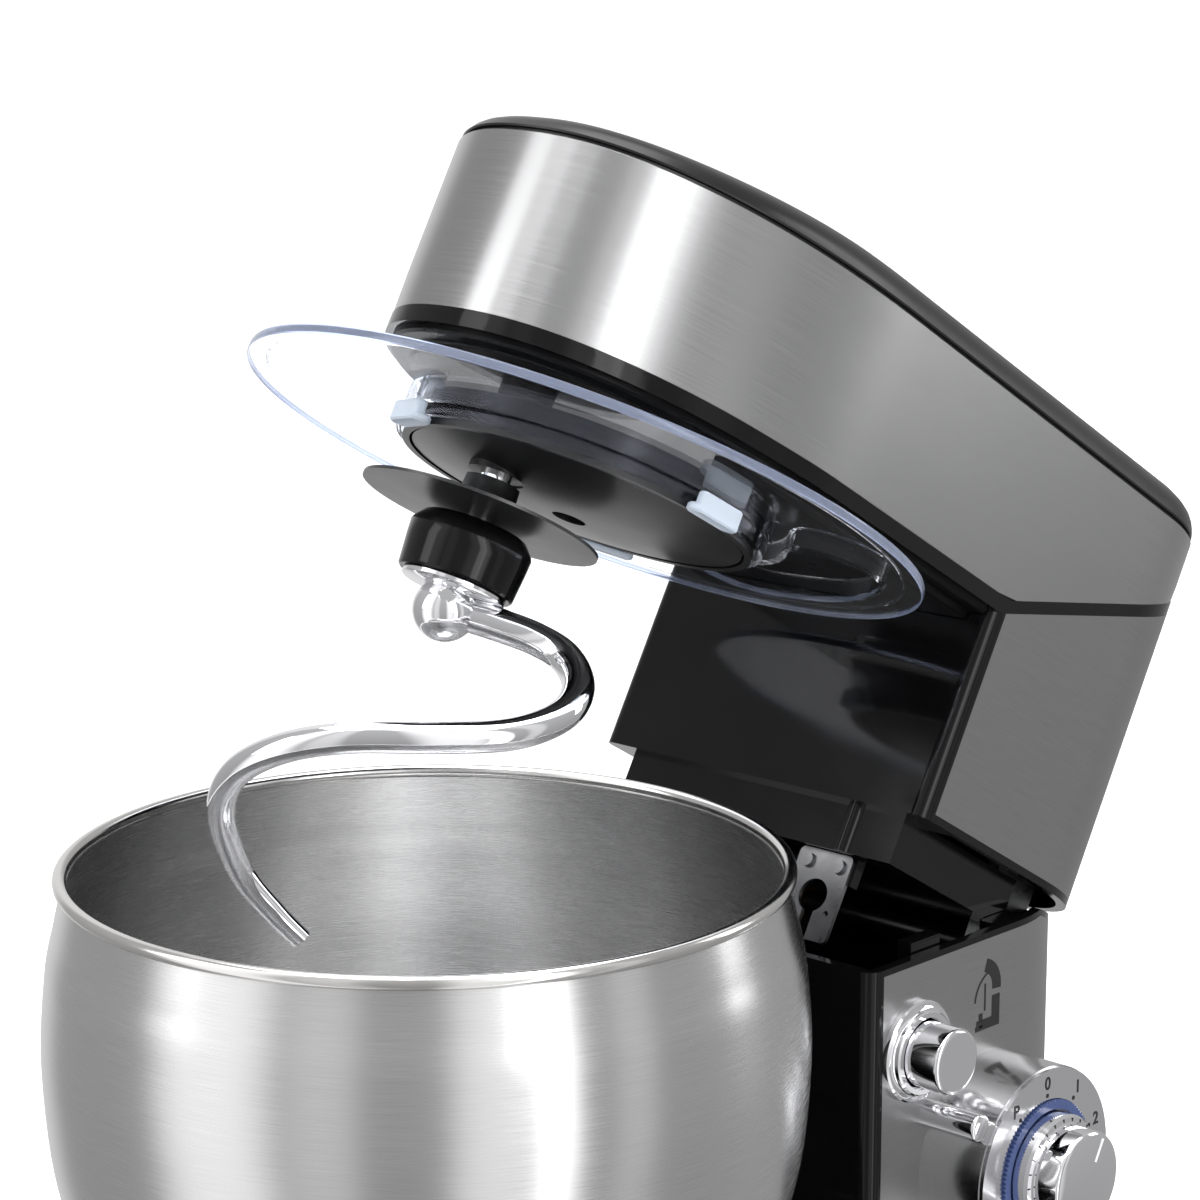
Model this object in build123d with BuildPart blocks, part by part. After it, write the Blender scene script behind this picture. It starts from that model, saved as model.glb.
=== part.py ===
"""Tilt-head stand mixer with a planetary spiral dough hook.

Every piece is drawn with the bowl's axis at x = 0, the table at z = 0 and the head shut.
write() then raises the head pieces to their rest pose and moves all pieces so that the
origin lies on the table under the middle of the whole object.
"""
import math
import os

from build123d import *

os.makedirs("parts", exist_ok=True)

# Driving dimensions, millimetres and degrees
RIM_Z = 222.0            # bowl rim above the table
RIM_R = 110.0            # centre of the rolled rim
HALF_W = 69.6            # half width of head and column
NOSE_START_X = 47.0      # where the straight sides turn into the nose
NOSE_LENGTH = 127.0      # from there to the tip of the nose
NOSE_POWER = 2.3         # 2 is an ellipse, more is squarer
REAR_X = 257.2           # rear face
CORNER_R = 50.0          # rear corners
FRONT_X = 129.2          # front face of the column and of the head's leg
STEEL_FRONT_X = 135.3    # front edge of the steel wraps
FRONT_R = 5.0            # rounded front corners of column and leg
STEEL_T = 1.0
WALL = 3.5
HINGE_X = 227.3
HINGE_Z = 150.9
HEAD_REST = 30.4         # how far the head is raised at rest
BOWL_X = -108.4          # bowl axis in the finished object's frame
SPLIT_Z = 172.2          # joint between column and leg
SPLIT_GAP = 0.6
SEAM_RISE = 0.3653       # slope of the steel band's lower edge over the leg
BAND_LOW_Z = RIM_Z + 27.4
BAND_TOP_Z = RIM_Z + 85.3
CAP_RISE = 17.0
ARM_FLOOR_Z = RIM_Z + 22.0
PLATFORM_Z = 44.0
BOTTOM_Z = 6.0
ORBIT_R = 30.0           # hook shaft from the planetary axis
ORBIT_ANGLE = 165.5
BUTTON_X = 152.0
BUTTON_Z = RIM_Z - 81.2
DIAL_X = 190.0
DIAL_Z = RIM_Z - 126.0
COUNTER_X = 43.75        # countershaft from the planetary axis
MOTOR_X = 178.0
FAR = 400.0              # larger than the object
HOOK_X = ORBIT_R * math.cos(math.radians(ORBIT_ANGLE))
HOOK_Y = ORBIT_R * math.sin(math.radians(ORBIT_ANGLE))
HINGE_AXIS = Axis((HINGE_X, 0, HINGE_Z), (0, 1, 0))


def write(piece, name, on_head=False):
    """Raises a head piece, moves any piece into the finished frame and saves it."""
    if on_head:
        piece = piece.rotate(HINGE_AXIS, HEAD_REST)
    piece = piece.moved(Location((BOWL_X, 0, 0)))
    piece.label = name
    export_step(piece, f"parts/{name}.step")


def plan_outline(inset):
    """Closed outline of head and column from above, moved in by inset."""
    half = HALF_W - inset
    nose = NOSE_LENGTH - inset
    rear = REAR_X - inset
    steps = 14
    points = []
    for step in range(steps + 1):
        angle = math.pi * (0.5 - step / steps)
        across = math.copysign(abs(math.sin(angle)) ** (2 / NOSE_POWER), math.sin(angle))
        along = max(math.cos(angle), 0.0) ** (2 / NOSE_POWER)
        points.append((NOSE_START_X - nose * along, half * across))
    Spline(points, tangents=[(-1, 0), (1, 0)])
    FilletPolyline(points[-1], (rear, -half), (rear, half), points[0], radius=CORNER_R - inset)


def plan_block(inset, bottom, top, front=None, front_r=0.0):
    """Solid of the plan outline between two heights, cut off ahead of front."""
    with BuildPart() as slab:
        with BuildSketch(Plane.XY.offset(bottom)) as plan:
            with BuildLine():
                plan_outline(inset)
            make_face()
            if front is not None:
                with Locations((front + FAR / 2, 0)):
                    Rectangle(FAR, FAR, mode=Mode.INTERSECT)
            if front_r:
                fillet(plan.vertices().group_by(Axis.X)[0], radius=front_r)
        extrude(amount=top - bottom)
    return slab.part


def side_prism(points, half_width=FAR):
    """Solid of a side-view outline of (x, z) points, across the whole width."""
    with BuildPart() as prism:
        with BuildSketch(Plane.XZ):
            with BuildLine():
                Polyline(points, close=True)
            make_face()
        extrude(amount=half_width, both=True)
    return prism.part


def tube(x, y, low, high, outer, inner=0.0):
    """Upright ring or post from low to high."""
    with BuildPart() as ring:
        with BuildSketch(Plane.XY.offset(low)):
            with Locations((x, y)):
                Circle(outer)
                if inner:
                    Circle(inner, mode=Mode.SUBTRACT)
        extrude(amount=high - low)
    return ring.part


def cross_tube(x, z, start_y, end_y, outer, inner=0.0):
    """Ring or post along Y from start_y to end_y."""
    with BuildPart() as ring:
        with BuildSketch(Plane((x, start_y, z), x_dir=(1, 0, 0), z_dir=(0, 1, 0))):
            Circle(outer)
            if inner:
                Circle(inner, mode=Mode.SUBTRACT)
        extrude(amount=end_y - start_y)
    return ring.part


def block(low, high):
    """Box between two corners."""
    size = [b - a for a, b in zip(low, high)]
    middle = [(a + b) / 2 for a, b in zip(low, high)]
    with BuildPart() as box:
        with Locations(tuple(middle)):
            Box(*size)
    return box.part


def group(*pieces):
    """Several separate solids that share one node."""
    return Compound(list(pieces))


def toothed(teeth, root, tip, phase):
    """Closed gear outline with trapezoid teeth, one of them centred at the phase angle."""
    root_half = math.degrees(GEAR_ROOT_HALF / root)
    tip_half = math.degrees(GEAR_TIP_HALF / tip)
    corners = []
    for tooth in range(teeth):
        middle = phase + 360.0 * tooth / teeth
        for radius, turn in (root, -root_half), (tip, -tip_half), (tip, tip_half), (root, root_half):
            angle = math.radians(middle + turn)
            corners.append((radius * math.cos(angle), radius * math.sin(angle)))
    Polyline(corners, close=True)


def spur_gear(x, y, low, high, teeth, pitch_r, phase, bore):
    """External gear with trapezoid teeth."""
    with BuildPart() as gear:
        with BuildSketch(Plane.XY.offset(low)):
            with BuildLine():
                toothed(teeth, pitch_r - GEAR_DEDENDUM, pitch_r + GEAR_ADDENDUM, phase)
            make_face()
            Circle(bore, mode=Mode.SUBTRACT)
        extrude(amount=high - low)
    return gear.part.moved(Location((x, y, 0)))


GEAR_ADDENDUM = 1.1
GEAR_DEDENDUM = 1.5
GEAR_ROOT_HALF = 1.15    # half a tooth's width at its root and at its tip
GEAR_TIP_HALF = 0.5

# Base: platform and column -----------------------------------------------------------

PLATFORM_R = 104.0
PLATFORM_REAR_R = 56.0
COLUMN_TOP_Z = SPLIT_Z - SPLIT_GAP / 2
WRAP_TOP_Z = COLUMN_TOP_Z - 2.2
WRAP_LOW_Z = PLATFORM_Z + 7.0
SLOPE_X = 222.0          # behind this the column's top slopes down to clear the raised leg
SLOPE_DROP = 16.0
SLOPE_RUN = 36.0


def platform(inset, bottom, top):
    """Base platform: a circle under the bowl drawn out to the column's rear corners."""
    with BuildPart() as slab:
        with BuildSketch(Plane.XY.offset(bottom)):
            Circle(PLATFORM_R - inset)
            for side in (-1, 1):
                with Locations((REAR_X - CORNER_R, side * (HALF_W - CORNER_R))):
                    Circle(PLATFORM_REAR_R - inset)
            make_hull()
        extrude(amount=top - bottom)
    return slab.part


def above_slope(below_top):
    """Everything over the sloping rear of the column's top."""
    start = (SLOPE_X, COLUMN_TOP_Z - below_top)
    end = (SLOPE_X + 2 * SLOPE_RUN, COLUMN_TOP_Z - below_top - 2 * SLOPE_DROP)
    return side_prism([start, end, (end[0], FAR), (start[0], FAR)])


BOARD_BACK_Y = 30.8       # back face of the control board, where its posts end
BOARD_POSTS = [(148, 34), (193, 34), (148, 86), (193, 86)]
PLATFORM_EDGE_R = 12.0
MOUTH_PAD_SPOTS = [(162, COLUMN_TOP_Z - 10), (206, COLUMN_TOP_Z - 9)]
wrap_blank = plan_block(0.0, WRAP_LOW_Z, WRAP_TOP_Z, STEEL_FRONT_X)
wrap_core = plan_block(STEEL_T, WRAP_LOW_Z - 1, WRAP_TOP_Z + 1, STEEL_FRONT_X - 9)
BUTTON_BORE_R = 11.4
DIAL_BORE_R = 24.0
GLAND_Z = 70.0
GLAND_R = 7.0
CORD_R = 3.4
button_hole = cross_tube(BUTTON_X, BUTTON_Z, -HALF_W - 9, -HALF_W + WALL + 9, BUTTON_BORE_R)
dial_hole = cross_tube(DIAL_X, DIAL_Z, -HALF_W - 9, -HALF_W + WALL + 9, DIAL_BORE_R)
with BuildPart() as gland_hole:
    with BuildSketch(Plane.YZ.offset(REAR_X - 12)):
        with Locations((0, GLAND_Z)):
            Circle(GLAND_R)
    extrude(amount=24)

with BuildPart() as column_steel_wrap:
    add(wrap_blank)
    add(wrap_core, mode=Mode.SUBTRACT)
    add(above_slope(2.2), mode=Mode.SUBTRACT)
    add(button_hole, mode=Mode.SUBTRACT)
    add(dial_hole, mode=Mode.SUBTRACT)
    add(gland_hole.part, mode=Mode.SUBTRACT)
write(column_steel_wrap.part, "column_steel_wrap")

platform_slab = platform(0.0, BOTTOM_Z, PLATFORM_Z)
platform_hollow = platform(3.0, BOTTOM_Z - 1, PLATFORM_Z - 3)
column_blank = plan_block(0.0, BOTTOM_Z, COLUMN_TOP_Z, FRONT_X, FRONT_R)
column_hollow = plan_block(WALL, BOTTOM_Z - 1, COLUMN_TOP_Z + 9, FRONT_X + WALL)
slope_cut = above_slope(0.0)
with BuildPart() as base_housing:
    add(platform_slab)
    fillet(base_housing.faces().sort_by(Axis.Z)[-1].edges(), radius=PLATFORM_EDGE_R)
    add(column_blank)
    add(platform_hollow, mode=Mode.SUBTRACT)
    add(column_hollow, mode=Mode.SUBTRACT)
    add(slope_cut, mode=Mode.SUBTRACT)
    add(column_steel_wrap.part, mode=Mode.SUBTRACT)
    add(button_hole, mode=Mode.SUBTRACT)
    add(dial_hole, mode=Mode.SUBTRACT)
    add(gland_hole.part, mode=Mode.SUBTRACT)
    with Locations([(x, -HALF_W + WALL + 3, z) for x, z in MOUTH_PAD_SPOTS]):
        Box(15, 7, 18)
    add(block((154.5, -65.2, COLUMN_TOP_Z - 6), (169.5, -59.6, COLUMN_TOP_Z + 3.5)))
    with BuildSketch(Plane.XZ.offset(-BOARD_BACK_Y)):
        with Locations(BOARD_POSTS):
            Circle(3.5)
    extrude(amount=BOARD_BACK_Y - HALF_W + WALL / 2)
write(base_housing.part, "base_housing")

FLOOR_T = 2.5
base_floor = platform(3.4, BOTTOM_Z, BOTTOM_Z + FLOOR_T)
FOOT_SPOTS = [(-72, 52), (-72, -52), (30, 84), (30, -84), (243, 38), (243, -38)]
FOOT_STEM_R = 3.2
with BuildPart() as base_plate:
    add(base_floor)
    with BuildSketch(Plane.XY.offset(BOTTOM_Z)):
        with Locations(FOOT_SPOTS):
            Circle(FOOT_STEM_R)
    extrude(amount=FLOOR_T, mode=Mode.SUBTRACT)
    with BuildSketch(Plane.XY.offset(BOTTOM_Z)):
        with GridLocations(9, 0, 8, 1):
            SlotOverall(40, 3.5, rotation=90)
    extrude(amount=FLOOR_T, mode=Mode.SUBTRACT)
write(base_plate.part, "base_plate")


def suction_foot(x, y):
    """Rubber suction cup with its stem through the base plate."""
    with BuildPart() as foot:
        with BuildSketch(Plane.XZ):
            with BuildLine():
                Polyline([(0, 2.4), (6, 2.2), (11, 0), (14, 0), (12, 2.4), (7, BOTTOM_Z)])
                Polyline([(7, BOTTOM_Z), (FOOT_STEM_R, BOTTOM_Z), (FOOT_STEM_R, BOTTOM_Z + FLOOR_T)])
                Polyline([(FOOT_STEM_R, BOTTOM_Z + FLOOR_T), (5, BOTTOM_Z + FLOOR_T), (3, BOTTOM_Z + 5)])
                Polyline([(3, BOTTOM_Z + 5), (0, BOTTOM_Z + 5), (0, 2.4)])
            make_face()
        revolve(axis=Axis.Z)
    return foot.part.moved(Location((x, y, 0)))


write(group(*[suction_foot(x, y) for x, y in FOOT_SPOTS]), "suction_feet")

SCREW_SPOTS = [(-30, 78), (-30, -78), (120, 62), (120, -62), (246, 20), (246, -20)]
SCREW_HEAD_T = 2.0


def plate_screw(x, y):
    """Pan-head screw under the base plate."""
    head = tube(x, y, BOTTOM_Z - SCREW_HEAD_T, BOTTOM_Z, 4.0)
    with BuildPart() as screw:
        add(head)
        with BuildSketch(Plane.XY.offset(BOTTOM_Z - SCREW_HEAD_T)):
            with Locations((x, y)):
                Rectangle(5, 1)
                Rectangle(1, 5)
        extrude(amount=SCREW_HEAD_T / 2, mode=Mode.SUBTRACT)
    return screw.part


write(group(*[plate_screw(x, y) for x, y in SCREW_SPOTS]), "base_screws")

# Bowl seat: a ring with a flange that holds the bowl's three lugs
LUG_COUNT = 3
SEAT_FLANGE_Z = PLATFORM_Z + 6.4
SEAT_TOP_Z = PLATFORM_Z + 10.0
with BuildPart() as bowl_seat_ring:
    with BuildSketch(Plane.XZ):
        with BuildLine():
            Polyline([(57, PLATFORM_Z), (63, PLATFORM_Z), (62, SEAT_TOP_Z), (51, SEAT_TOP_Z),
                      (51, SEAT_FLANGE_Z), (57, SEAT_FLANGE_Z)], close=True)
        make_face()
    revolve(axis=Axis.Z)
    with BuildSketch(Plane.XY.offset(SEAT_FLANGE_Z)):
        with PolarLocations(54, LUG_COUNT, start_angle=90):
            Rectangle(7, 24)
    extrude(amount=9, mode=Mode.SUBTRACT)
write(bowl_seat_ring.part, "bowl_seat_ring")

# Hinge frame in the column, with the pin that the head turns on
PIN_R = 4.0
EYE_R = 11.0
UPRIGHT_Y = 50.0
UPRIGHT_T = 5.0
FRAME_FOOT_X = 219.0
FRAME_FOOT_Z = BOTTOM_Z + FLOOR_T + 3.0


def hinge_upright(side):
    """One upright with its eye and foot."""
    start_y = side * UPRIGHT_Y - UPRIGHT_T / 2
    with BuildPart() as upright:
        with BuildSketch(Plane((0, start_y + UPRIGHT_T, 0), x_dir=(1, 0, 0), z_dir=(0, -1, 0))):
            with Locations((HINGE_X, HINGE_Z)):
                Circle(EYE_R)
            with Locations((FRAME_FOOT_X, FRAME_FOOT_Z)):
                Rectangle(30, 6)
            make_hull()
            with Locations((HINGE_X, HINGE_Z)):
                Circle(PIN_R, mode=Mode.SUBTRACT)
            with Locations((224, 60), (225, 100)):
                Circle(9, mode=Mode.SUBTRACT)
        extrude(amount=UPRIGHT_T)
    return upright.part


left_upright = hinge_upright(1)
right_upright = hinge_upright(-1)
with BuildPart() as hinge_frame:
    add(left_upright)
    add(right_upright)
    with Locations((FRAME_FOOT_X, 0, FRAME_FOOT_Z)):
        Box(30, 2 * UPRIGHT_Y, 6)
    with Locations((222, 0, 112)):
        Box(6, 2 * UPRIGHT_Y, 14)
write(hinge_frame.part, "hinge_frame")

RING_INNER_Y = UPRIGHT_Y + UPRIGHT_T / 2
RING_OUTER_Y = RING_INNER_Y + 2.0
with BuildPart() as hinge_pin:
    add(cross_tube(HINGE_X, HINGE_Z, -RING_OUTER_Y - 1, RING_OUTER_Y + 1, PIN_R))
    add(cross_tube(HINGE_X, HINGE_Z, -RING_OUTER_Y, -RING_INNER_Y, 6.5))
    add(cross_tube(HINGE_X, HINGE_Z, RING_INNER_Y, RING_OUTER_Y, 6.5))
write(hinge_pin.part, "hinge_pin")

# Release button on the right-hand panel
PANEL_Y = -HALF_W
BUTTON_R = 11.0
FLANGE_R = 17.0
FLANGE_LIP_R = 14.4
FLANGE_T = 2.4
with BuildPart() as button_flange:
    with BuildSketch(Plane((BUTTON_X, PANEL_Y, BUTTON_Z), x_dir=(1, 0, 0), z_dir=(0, -1, 0))):
        Circle(FLANGE_R)
        Circle(BUTTON_BORE_R, mode=Mode.SUBTRACT)
    extrude(amount=FLANGE_T)
    with BuildSketch(Plane((BUTTON_X, PANEL_Y - FLANGE_T, BUTTON_Z), x_dir=(1, 0, 0), z_dir=(0, -1, 0))):
        Circle(FLANGE_LIP_R)
        Circle(BUTTON_BORE_R, mode=Mode.SUBTRACT)
    extrude(amount=FLANGE_T)
    chamfer(button_flange.faces().sort_by(Axis.Y)[0].edges(), length=0.8)
write(button_flange.part, "button_flange")

BUTTON_FRONT_Y = PANEL_Y - 17.5
BUTTON_BACK_Y = PANEL_Y - 4.0
STEM_R = 5.0
button_stem = cross_tube(BUTTON_X, BUTTON_Z, BUTTON_BACK_Y, -45.0, STEM_R)
with BuildPart() as release_button:
    with BuildSketch(Plane((BUTTON_X, BUTTON_FRONT_Y, BUTTON_Z), x_dir=(1, 0, 0), z_dir=(0, 1, 0))):
        Circle(BUTTON_R)
    extrude(amount=BUTTON_BACK_Y - BUTTON_FRONT_Y)
    fillet(release_button.faces().sort_by(Axis.Y)[0].edges(), radius=1.6)
    add(button_stem)
write(release_button.part, "release_button")

SPRING_LOW_Y = PANEL_Y + WALL
SPRING_HIGH_Y = BUTTON_BACK_Y + 0.1


def spring_rings(start_y, end_y, middle_r, wire_r, turns):
    """Coil spring drawn as close rings joined by a seam bar."""
    pitch = (end_y - start_y - 2 * wire_r) / (turns - 1)
    with BuildPart() as coil:
        for turn in range(turns):
            ring_y = start_y + wire_r + pitch * turn
            with BuildSketch(Plane.XY):
                with Locations((middle_r, ring_y)):
                    Circle(wire_r)
            revolve(axis=Axis.Y)
        with BuildSketch(Plane((middle_r, start_y + wire_r, 0), x_dir=(1, 0, 0), z_dir=(0, 1, 0))):
            Circle(wire_r * 0.8)
        extrude(amount=pitch * (turns - 1))
    return coil.part


button_coil = spring_rings(SPRING_HIGH_Y, SPRING_LOW_Y, 7.4, 0.6, 5)
write(button_coil.moved(Location((BUTTON_X, 0, BUTTON_Z))), "button_spring")

# Latch: a collared pin in a bracket, which stands in the lock plate's open slot
LATCH_Y = -31.0
LATCH_Z = RIM_Z - 81.5
BRACKET_LOW_Z = LATCH_Z - 9.5
BRACKET_TOP_Z = LATCH_Z + 8.5
BRACKET_X = 153.0
BRACKET_END_Y = -23.0
LATCH_R = 5.2
with BuildPart() as latch_bracket:
    with Locations((BRACKET_X, (-HALF_W + WALL + BRACKET_END_Y) / 2, (BRACKET_LOW_Z + BRACKET_TOP_Z) / 2)):
        Box(8, HALF_W - WALL + BRACKET_END_Y, BRACKET_TOP_Z - BRACKET_LOW_Z)
    add(cross_tube(BUTTON_X, BUTTON_Z, -HALF_W, -38.5, STEM_R + 0.06), mode=Mode.SUBTRACT)
    with BuildSketch(Plane.YZ.offset(140)):
        with Locations((LATCH_Y, LATCH_Z)):
            Circle(LATCH_R + 0.06)
    extrude(amount=30, mode=Mode.SUBTRACT)
write(latch_bracket.part, "latch_bracket")

with BuildPart() as latch_pin:
    with BuildSketch(Plane.YZ.offset(143.4)):
        with Locations((LATCH_Y, LATCH_Z)):
            Circle(LATCH_R)
    extrude(amount=18)
    with BuildSketch(Plane.YZ.offset(138.2)):
        with Locations((LATCH_Y, LATCH_Z)):
            Circle(1.8)
    extrude(amount=5.2)
write(latch_pin.part, "latch_pin")

# Speed dial: boss, plate, light ring and knob on one axis along Y
BOSS_R = 34.5
BOSS_FRONT_Y = PANEL_Y - 24.0
PLATE_BORE_R = 23.8
KNOB_SKIRT_R = 19.8
KNOB_R = 16.8
KNOB_SKIRT_T = 8.0
KNOB_GRIP_T = 10.5
KNOB_SHAFT_R = 3.0
PLATE_FRONT_Y = BOSS_FRONT_Y - 1.6
RING_FRONT_Y = BOSS_FRONT_Y - 2.6
boss_front = cross_tube(DIAL_X, DIAL_Z, BOSS_FRONT_Y, BOSS_FRONT_Y + 2.5, BOSS_R - 0.5, 9.0)
with BuildPart() as dial_boss:
    add(cross_tube(DIAL_X, DIAL_Z, BOSS_FRONT_Y, PANEL_Y, BOSS_R, BOSS_R - 2.0))
    add(boss_front)
write(dial_boss.part, "dial_boss")
dial_plate = cross_tube(DIAL_X, DIAL_Z, PLATE_FRONT_Y, BOSS_FRONT_Y, BOSS_R - 0.4, PLATE_BORE_R)
write(dial_plate, "dial_plate")
light_ring = cross_tube(DIAL_X, DIAL_Z, RING_FRONT_Y, BOSS_FRONT_Y, PLATE_BORE_R - 0.1, KNOB_SKIRT_R + 0.6)
write(light_ring, "dial_light_ring")

KNOB_BACK_Y = BOSS_FRONT_Y - 0.5
with BuildPart() as speed_dial:
    with BuildSketch(Plane((DIAL_X, KNOB_BACK_Y, DIAL_Z), x_dir=(1, 0, 0), z_dir=(0, -1, 0))):
        Circle(KNOB_SKIRT_R)
    extrude(amount=KNOB_SKIRT_T)
    fillet(speed_dial.faces().sort_by(Axis.Y)[0].edges(), radius=1.2)
    with BuildSketch(Plane((DIAL_X, KNOB_BACK_Y - KNOB_SKIRT_T, DIAL_Z), x_dir=(1, 0, 0), z_dir=(0, -1, 0))):
        Circle(KNOB_R)
    extrude(amount=KNOB_GRIP_T)
    fillet(speed_dial.faces().sort_by(Axis.Y)[0].edges(), radius=1.0)
    with BuildSketch(Plane((DIAL_X, KNOB_BACK_Y, DIAL_Z), x_dir=(1, 0, 0), z_dir=(0, 1, 0))):
        Circle(KNOB_SHAFT_R)
    extrude(amount=38.0)
write(speed_dial.part, "speed_dial")

SWITCH_FRONT_Y = PANEL_Y + WALL + 1.5
switch_bore = cross_tube(DIAL_X, DIAL_Z, SWITCH_FRONT_Y - 7, SWITCH_FRONT_Y + 16, KNOB_SHAFT_R + 0.06)
with BuildPart() as speed_switch:
    with Locations((DIAL_X, SWITCH_FRONT_Y + 8, DIAL_Z)):
        Box(30, 16, 30)
    add(cross_tube(DIAL_X, DIAL_Z, SWITCH_FRONT_Y - 6, SWITCH_FRONT_Y, 6.0))
    add(switch_bore, mode=Mode.SUBTRACT)
write(speed_switch.part, "speed_switch")

POST_X = DIAL_X - 30.5
POST_Z = DIAL_Z + 21.5
with BuildPart() as dial_post:
    with BuildSketch(Plane((POST_X, PANEL_Y, POST_Z), x_dir=(1, 0, 0), z_dir=(0, -1, 0))):
        Circle(4.6)
    extrude(amount=22.0)
    fillet(dial_post.faces().sort_by(Axis.Y)[0].edges(), radius=1.2)
    add(cross_tube(DIAL_X, DIAL_Z, PANEL_Y - 30, PANEL_Y + 5, BOSS_R + 0.05), mode=Mode.SUBTRACT)
write(dial_post.part, "dial_post")

with BuildPart() as control_board:
    with Locations((170.5, 30, 60)):
        Box(53, 1.6, 60)
    with Locations((160, 24.2, 70), (182, 23.2, 66), (187, 24.7, 46)):
        Box(14, 10, 18)
    with Locations((172, 26.2, 42)):
        Box(18, 6, 12)
    with BuildSketch(Plane.XZ.offset(-31)):
        with Locations(BOARD_POSTS):
            Circle(1.6)
    extrude(amount=4, both=True, mode=Mode.SUBTRACT)
write(control_board.part, "control_board")
with BuildPart() as cord_gland:
    with BuildSketch(Plane.YZ.offset(REAR_X - WALL - 6)):
        with Locations((0, GLAND_Z)):
            Circle(GLAND_R)
            Circle(CORD_R, mode=Mode.SUBTRACT)
    extrude(amount=WALL + 6)
    with BuildSketch(Plane.YZ.offset(REAR_X)):
        with Locations((0, GLAND_Z)):
            Circle(GLAND_R + 2.5)
            Circle(CORD_R, mode=Mode.SUBTRACT)
    extrude(amount=4)
write(cord_gland.part, "cord_gland")

# Bowl --------------------------------------------------------------------------------

BOWL_T = 1.2
BOWL_FLOOR_Z = 56.0
BOWL_PROFILE = [(109.3, 220.6), (115.4, 192.0), (117.0, 162.0), (112.5, 124.0), (98.0, 91.0), (74.0, 67.0)]
BOWL_FLAT_R = 46.0
BOWL_MIDDLE_Z = 150.0    # the wall's thickness is measured toward this height on the axis
BEAD_R = 2.1


def bowl_curve(inward):
    """Bowl profile from under the rim to the flat floor, moved in by a wall thickness."""
    points = []
    for radius, height in BOWL_PROFILE:
        rise = height - BOWL_MIDDLE_Z
        reach = math.hypot(radius, rise)
        scale = (reach - inward) / reach
        points.append((radius * scale, BOWL_MIDDLE_Z + rise * scale))
    points.append((BOWL_FLAT_R, BOWL_FLOOR_Z + inward))
    Spline(points, tangents=[(0.15, -1.0), (-1.0, -0.12)])
    return points


with BuildPart() as bowl:
    with BuildSketch(Plane.XZ):
        with BuildLine():
            outer_points = bowl_curve(0.0)
            inner_points = bowl_curve(BOWL_T)
            Line(outer_points[0], inner_points[0])
            Line(outer_points[-1], (0, BOWL_FLOOR_Z))
            Line((0, BOWL_FLOOR_Z), (0, BOWL_FLOOR_Z + BOWL_T))
            Line((0, BOWL_FLOOR_Z + BOWL_T), inner_points[-1])
        make_face()
    revolve(axis=Axis.Z)
    with BuildSketch(Plane.XZ):
        with Locations((RIM_R, RIM_Z)):
            Circle(BEAD_R)
    revolve(axis=Axis.Z)
write(bowl.part, "bowl")

FOOT_LOW_Z = PLATFORM_Z + 0.8
with BuildPart() as bowl_foot_ring:
    with BuildSketch(Plane.XY.offset(FOOT_LOW_Z)):
        Circle(49.5)
        Circle(42.0, mode=Mode.SUBTRACT)
    extrude(amount=BOWL_FLOOR_Z - FOOT_LOW_Z)
    chamfer(bowl_foot_ring.faces().sort_by(Axis.Z)[-1].edges(), length=3.0)
    with BuildSketch(Plane.XY.offset(FOOT_LOW_Z)):
        with PolarLocations(52, LUG_COUNT, start_angle=60):
            Rectangle(7.6, 18)
        Circle(44.0, mode=Mode.SUBTRACT)
    extrude(amount=4.8)
write(bowl_foot_ring.part, "bowl_foot_ring")

# Head --------------------------------------------------------------------------------

LEG_LOW_Z = SPLIT_Z + SPLIT_GAP / 2
LEG_WRAP_LOW_Z = LEG_LOW_Z + 2.6
SEAM_GAP = 4.6


def above_seam(lift):
    """Everything over the seam between band and leg wrap, moved down by lift."""
    rear_z = BAND_LOW_Z + (FAR - STEEL_FRONT_X) * SEAM_RISE
    return side_prism([(-FAR, BAND_LOW_Z - lift), (STEEL_FRONT_X, BAND_LOW_Z - lift),
                       (FAR, rear_z - lift), (FAR, 2 * FAR), (-FAR, 2 * FAR)])


band_blank = plan_block(0.0, BAND_LOW_Z, BAND_TOP_Z)
band_core = plan_block(STEEL_T, BAND_LOW_Z - 1, BAND_TOP_Z + 1)
over_seam = above_seam(0.0)
over_gap = above_seam(SEAM_GAP)
with BuildPart() as head_steel_band:
    add(band_blank)
    add(band_core, mode=Mode.SUBTRACT)
    add(over_seam, mode=Mode.INTERSECT)
write(head_steel_band.part, "head_steel_band", on_head=True)

leg_blank = plan_block(0.0, LEG_WRAP_LOW_Z, BAND_TOP_Z, STEEL_FRONT_X)
leg_core = plan_block(STEEL_T, LEG_WRAP_LOW_Z - 1, BAND_TOP_Z + 1, STEEL_FRONT_X - 9)
with BuildPart() as leg_steel_wrap:
    add(leg_blank)
    add(leg_core, mode=Mode.SUBTRACT)
    add(over_gap, mode=Mode.SUBTRACT)
write(leg_steel_wrap.part, "leg_steel_wrap", on_head=True)

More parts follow.
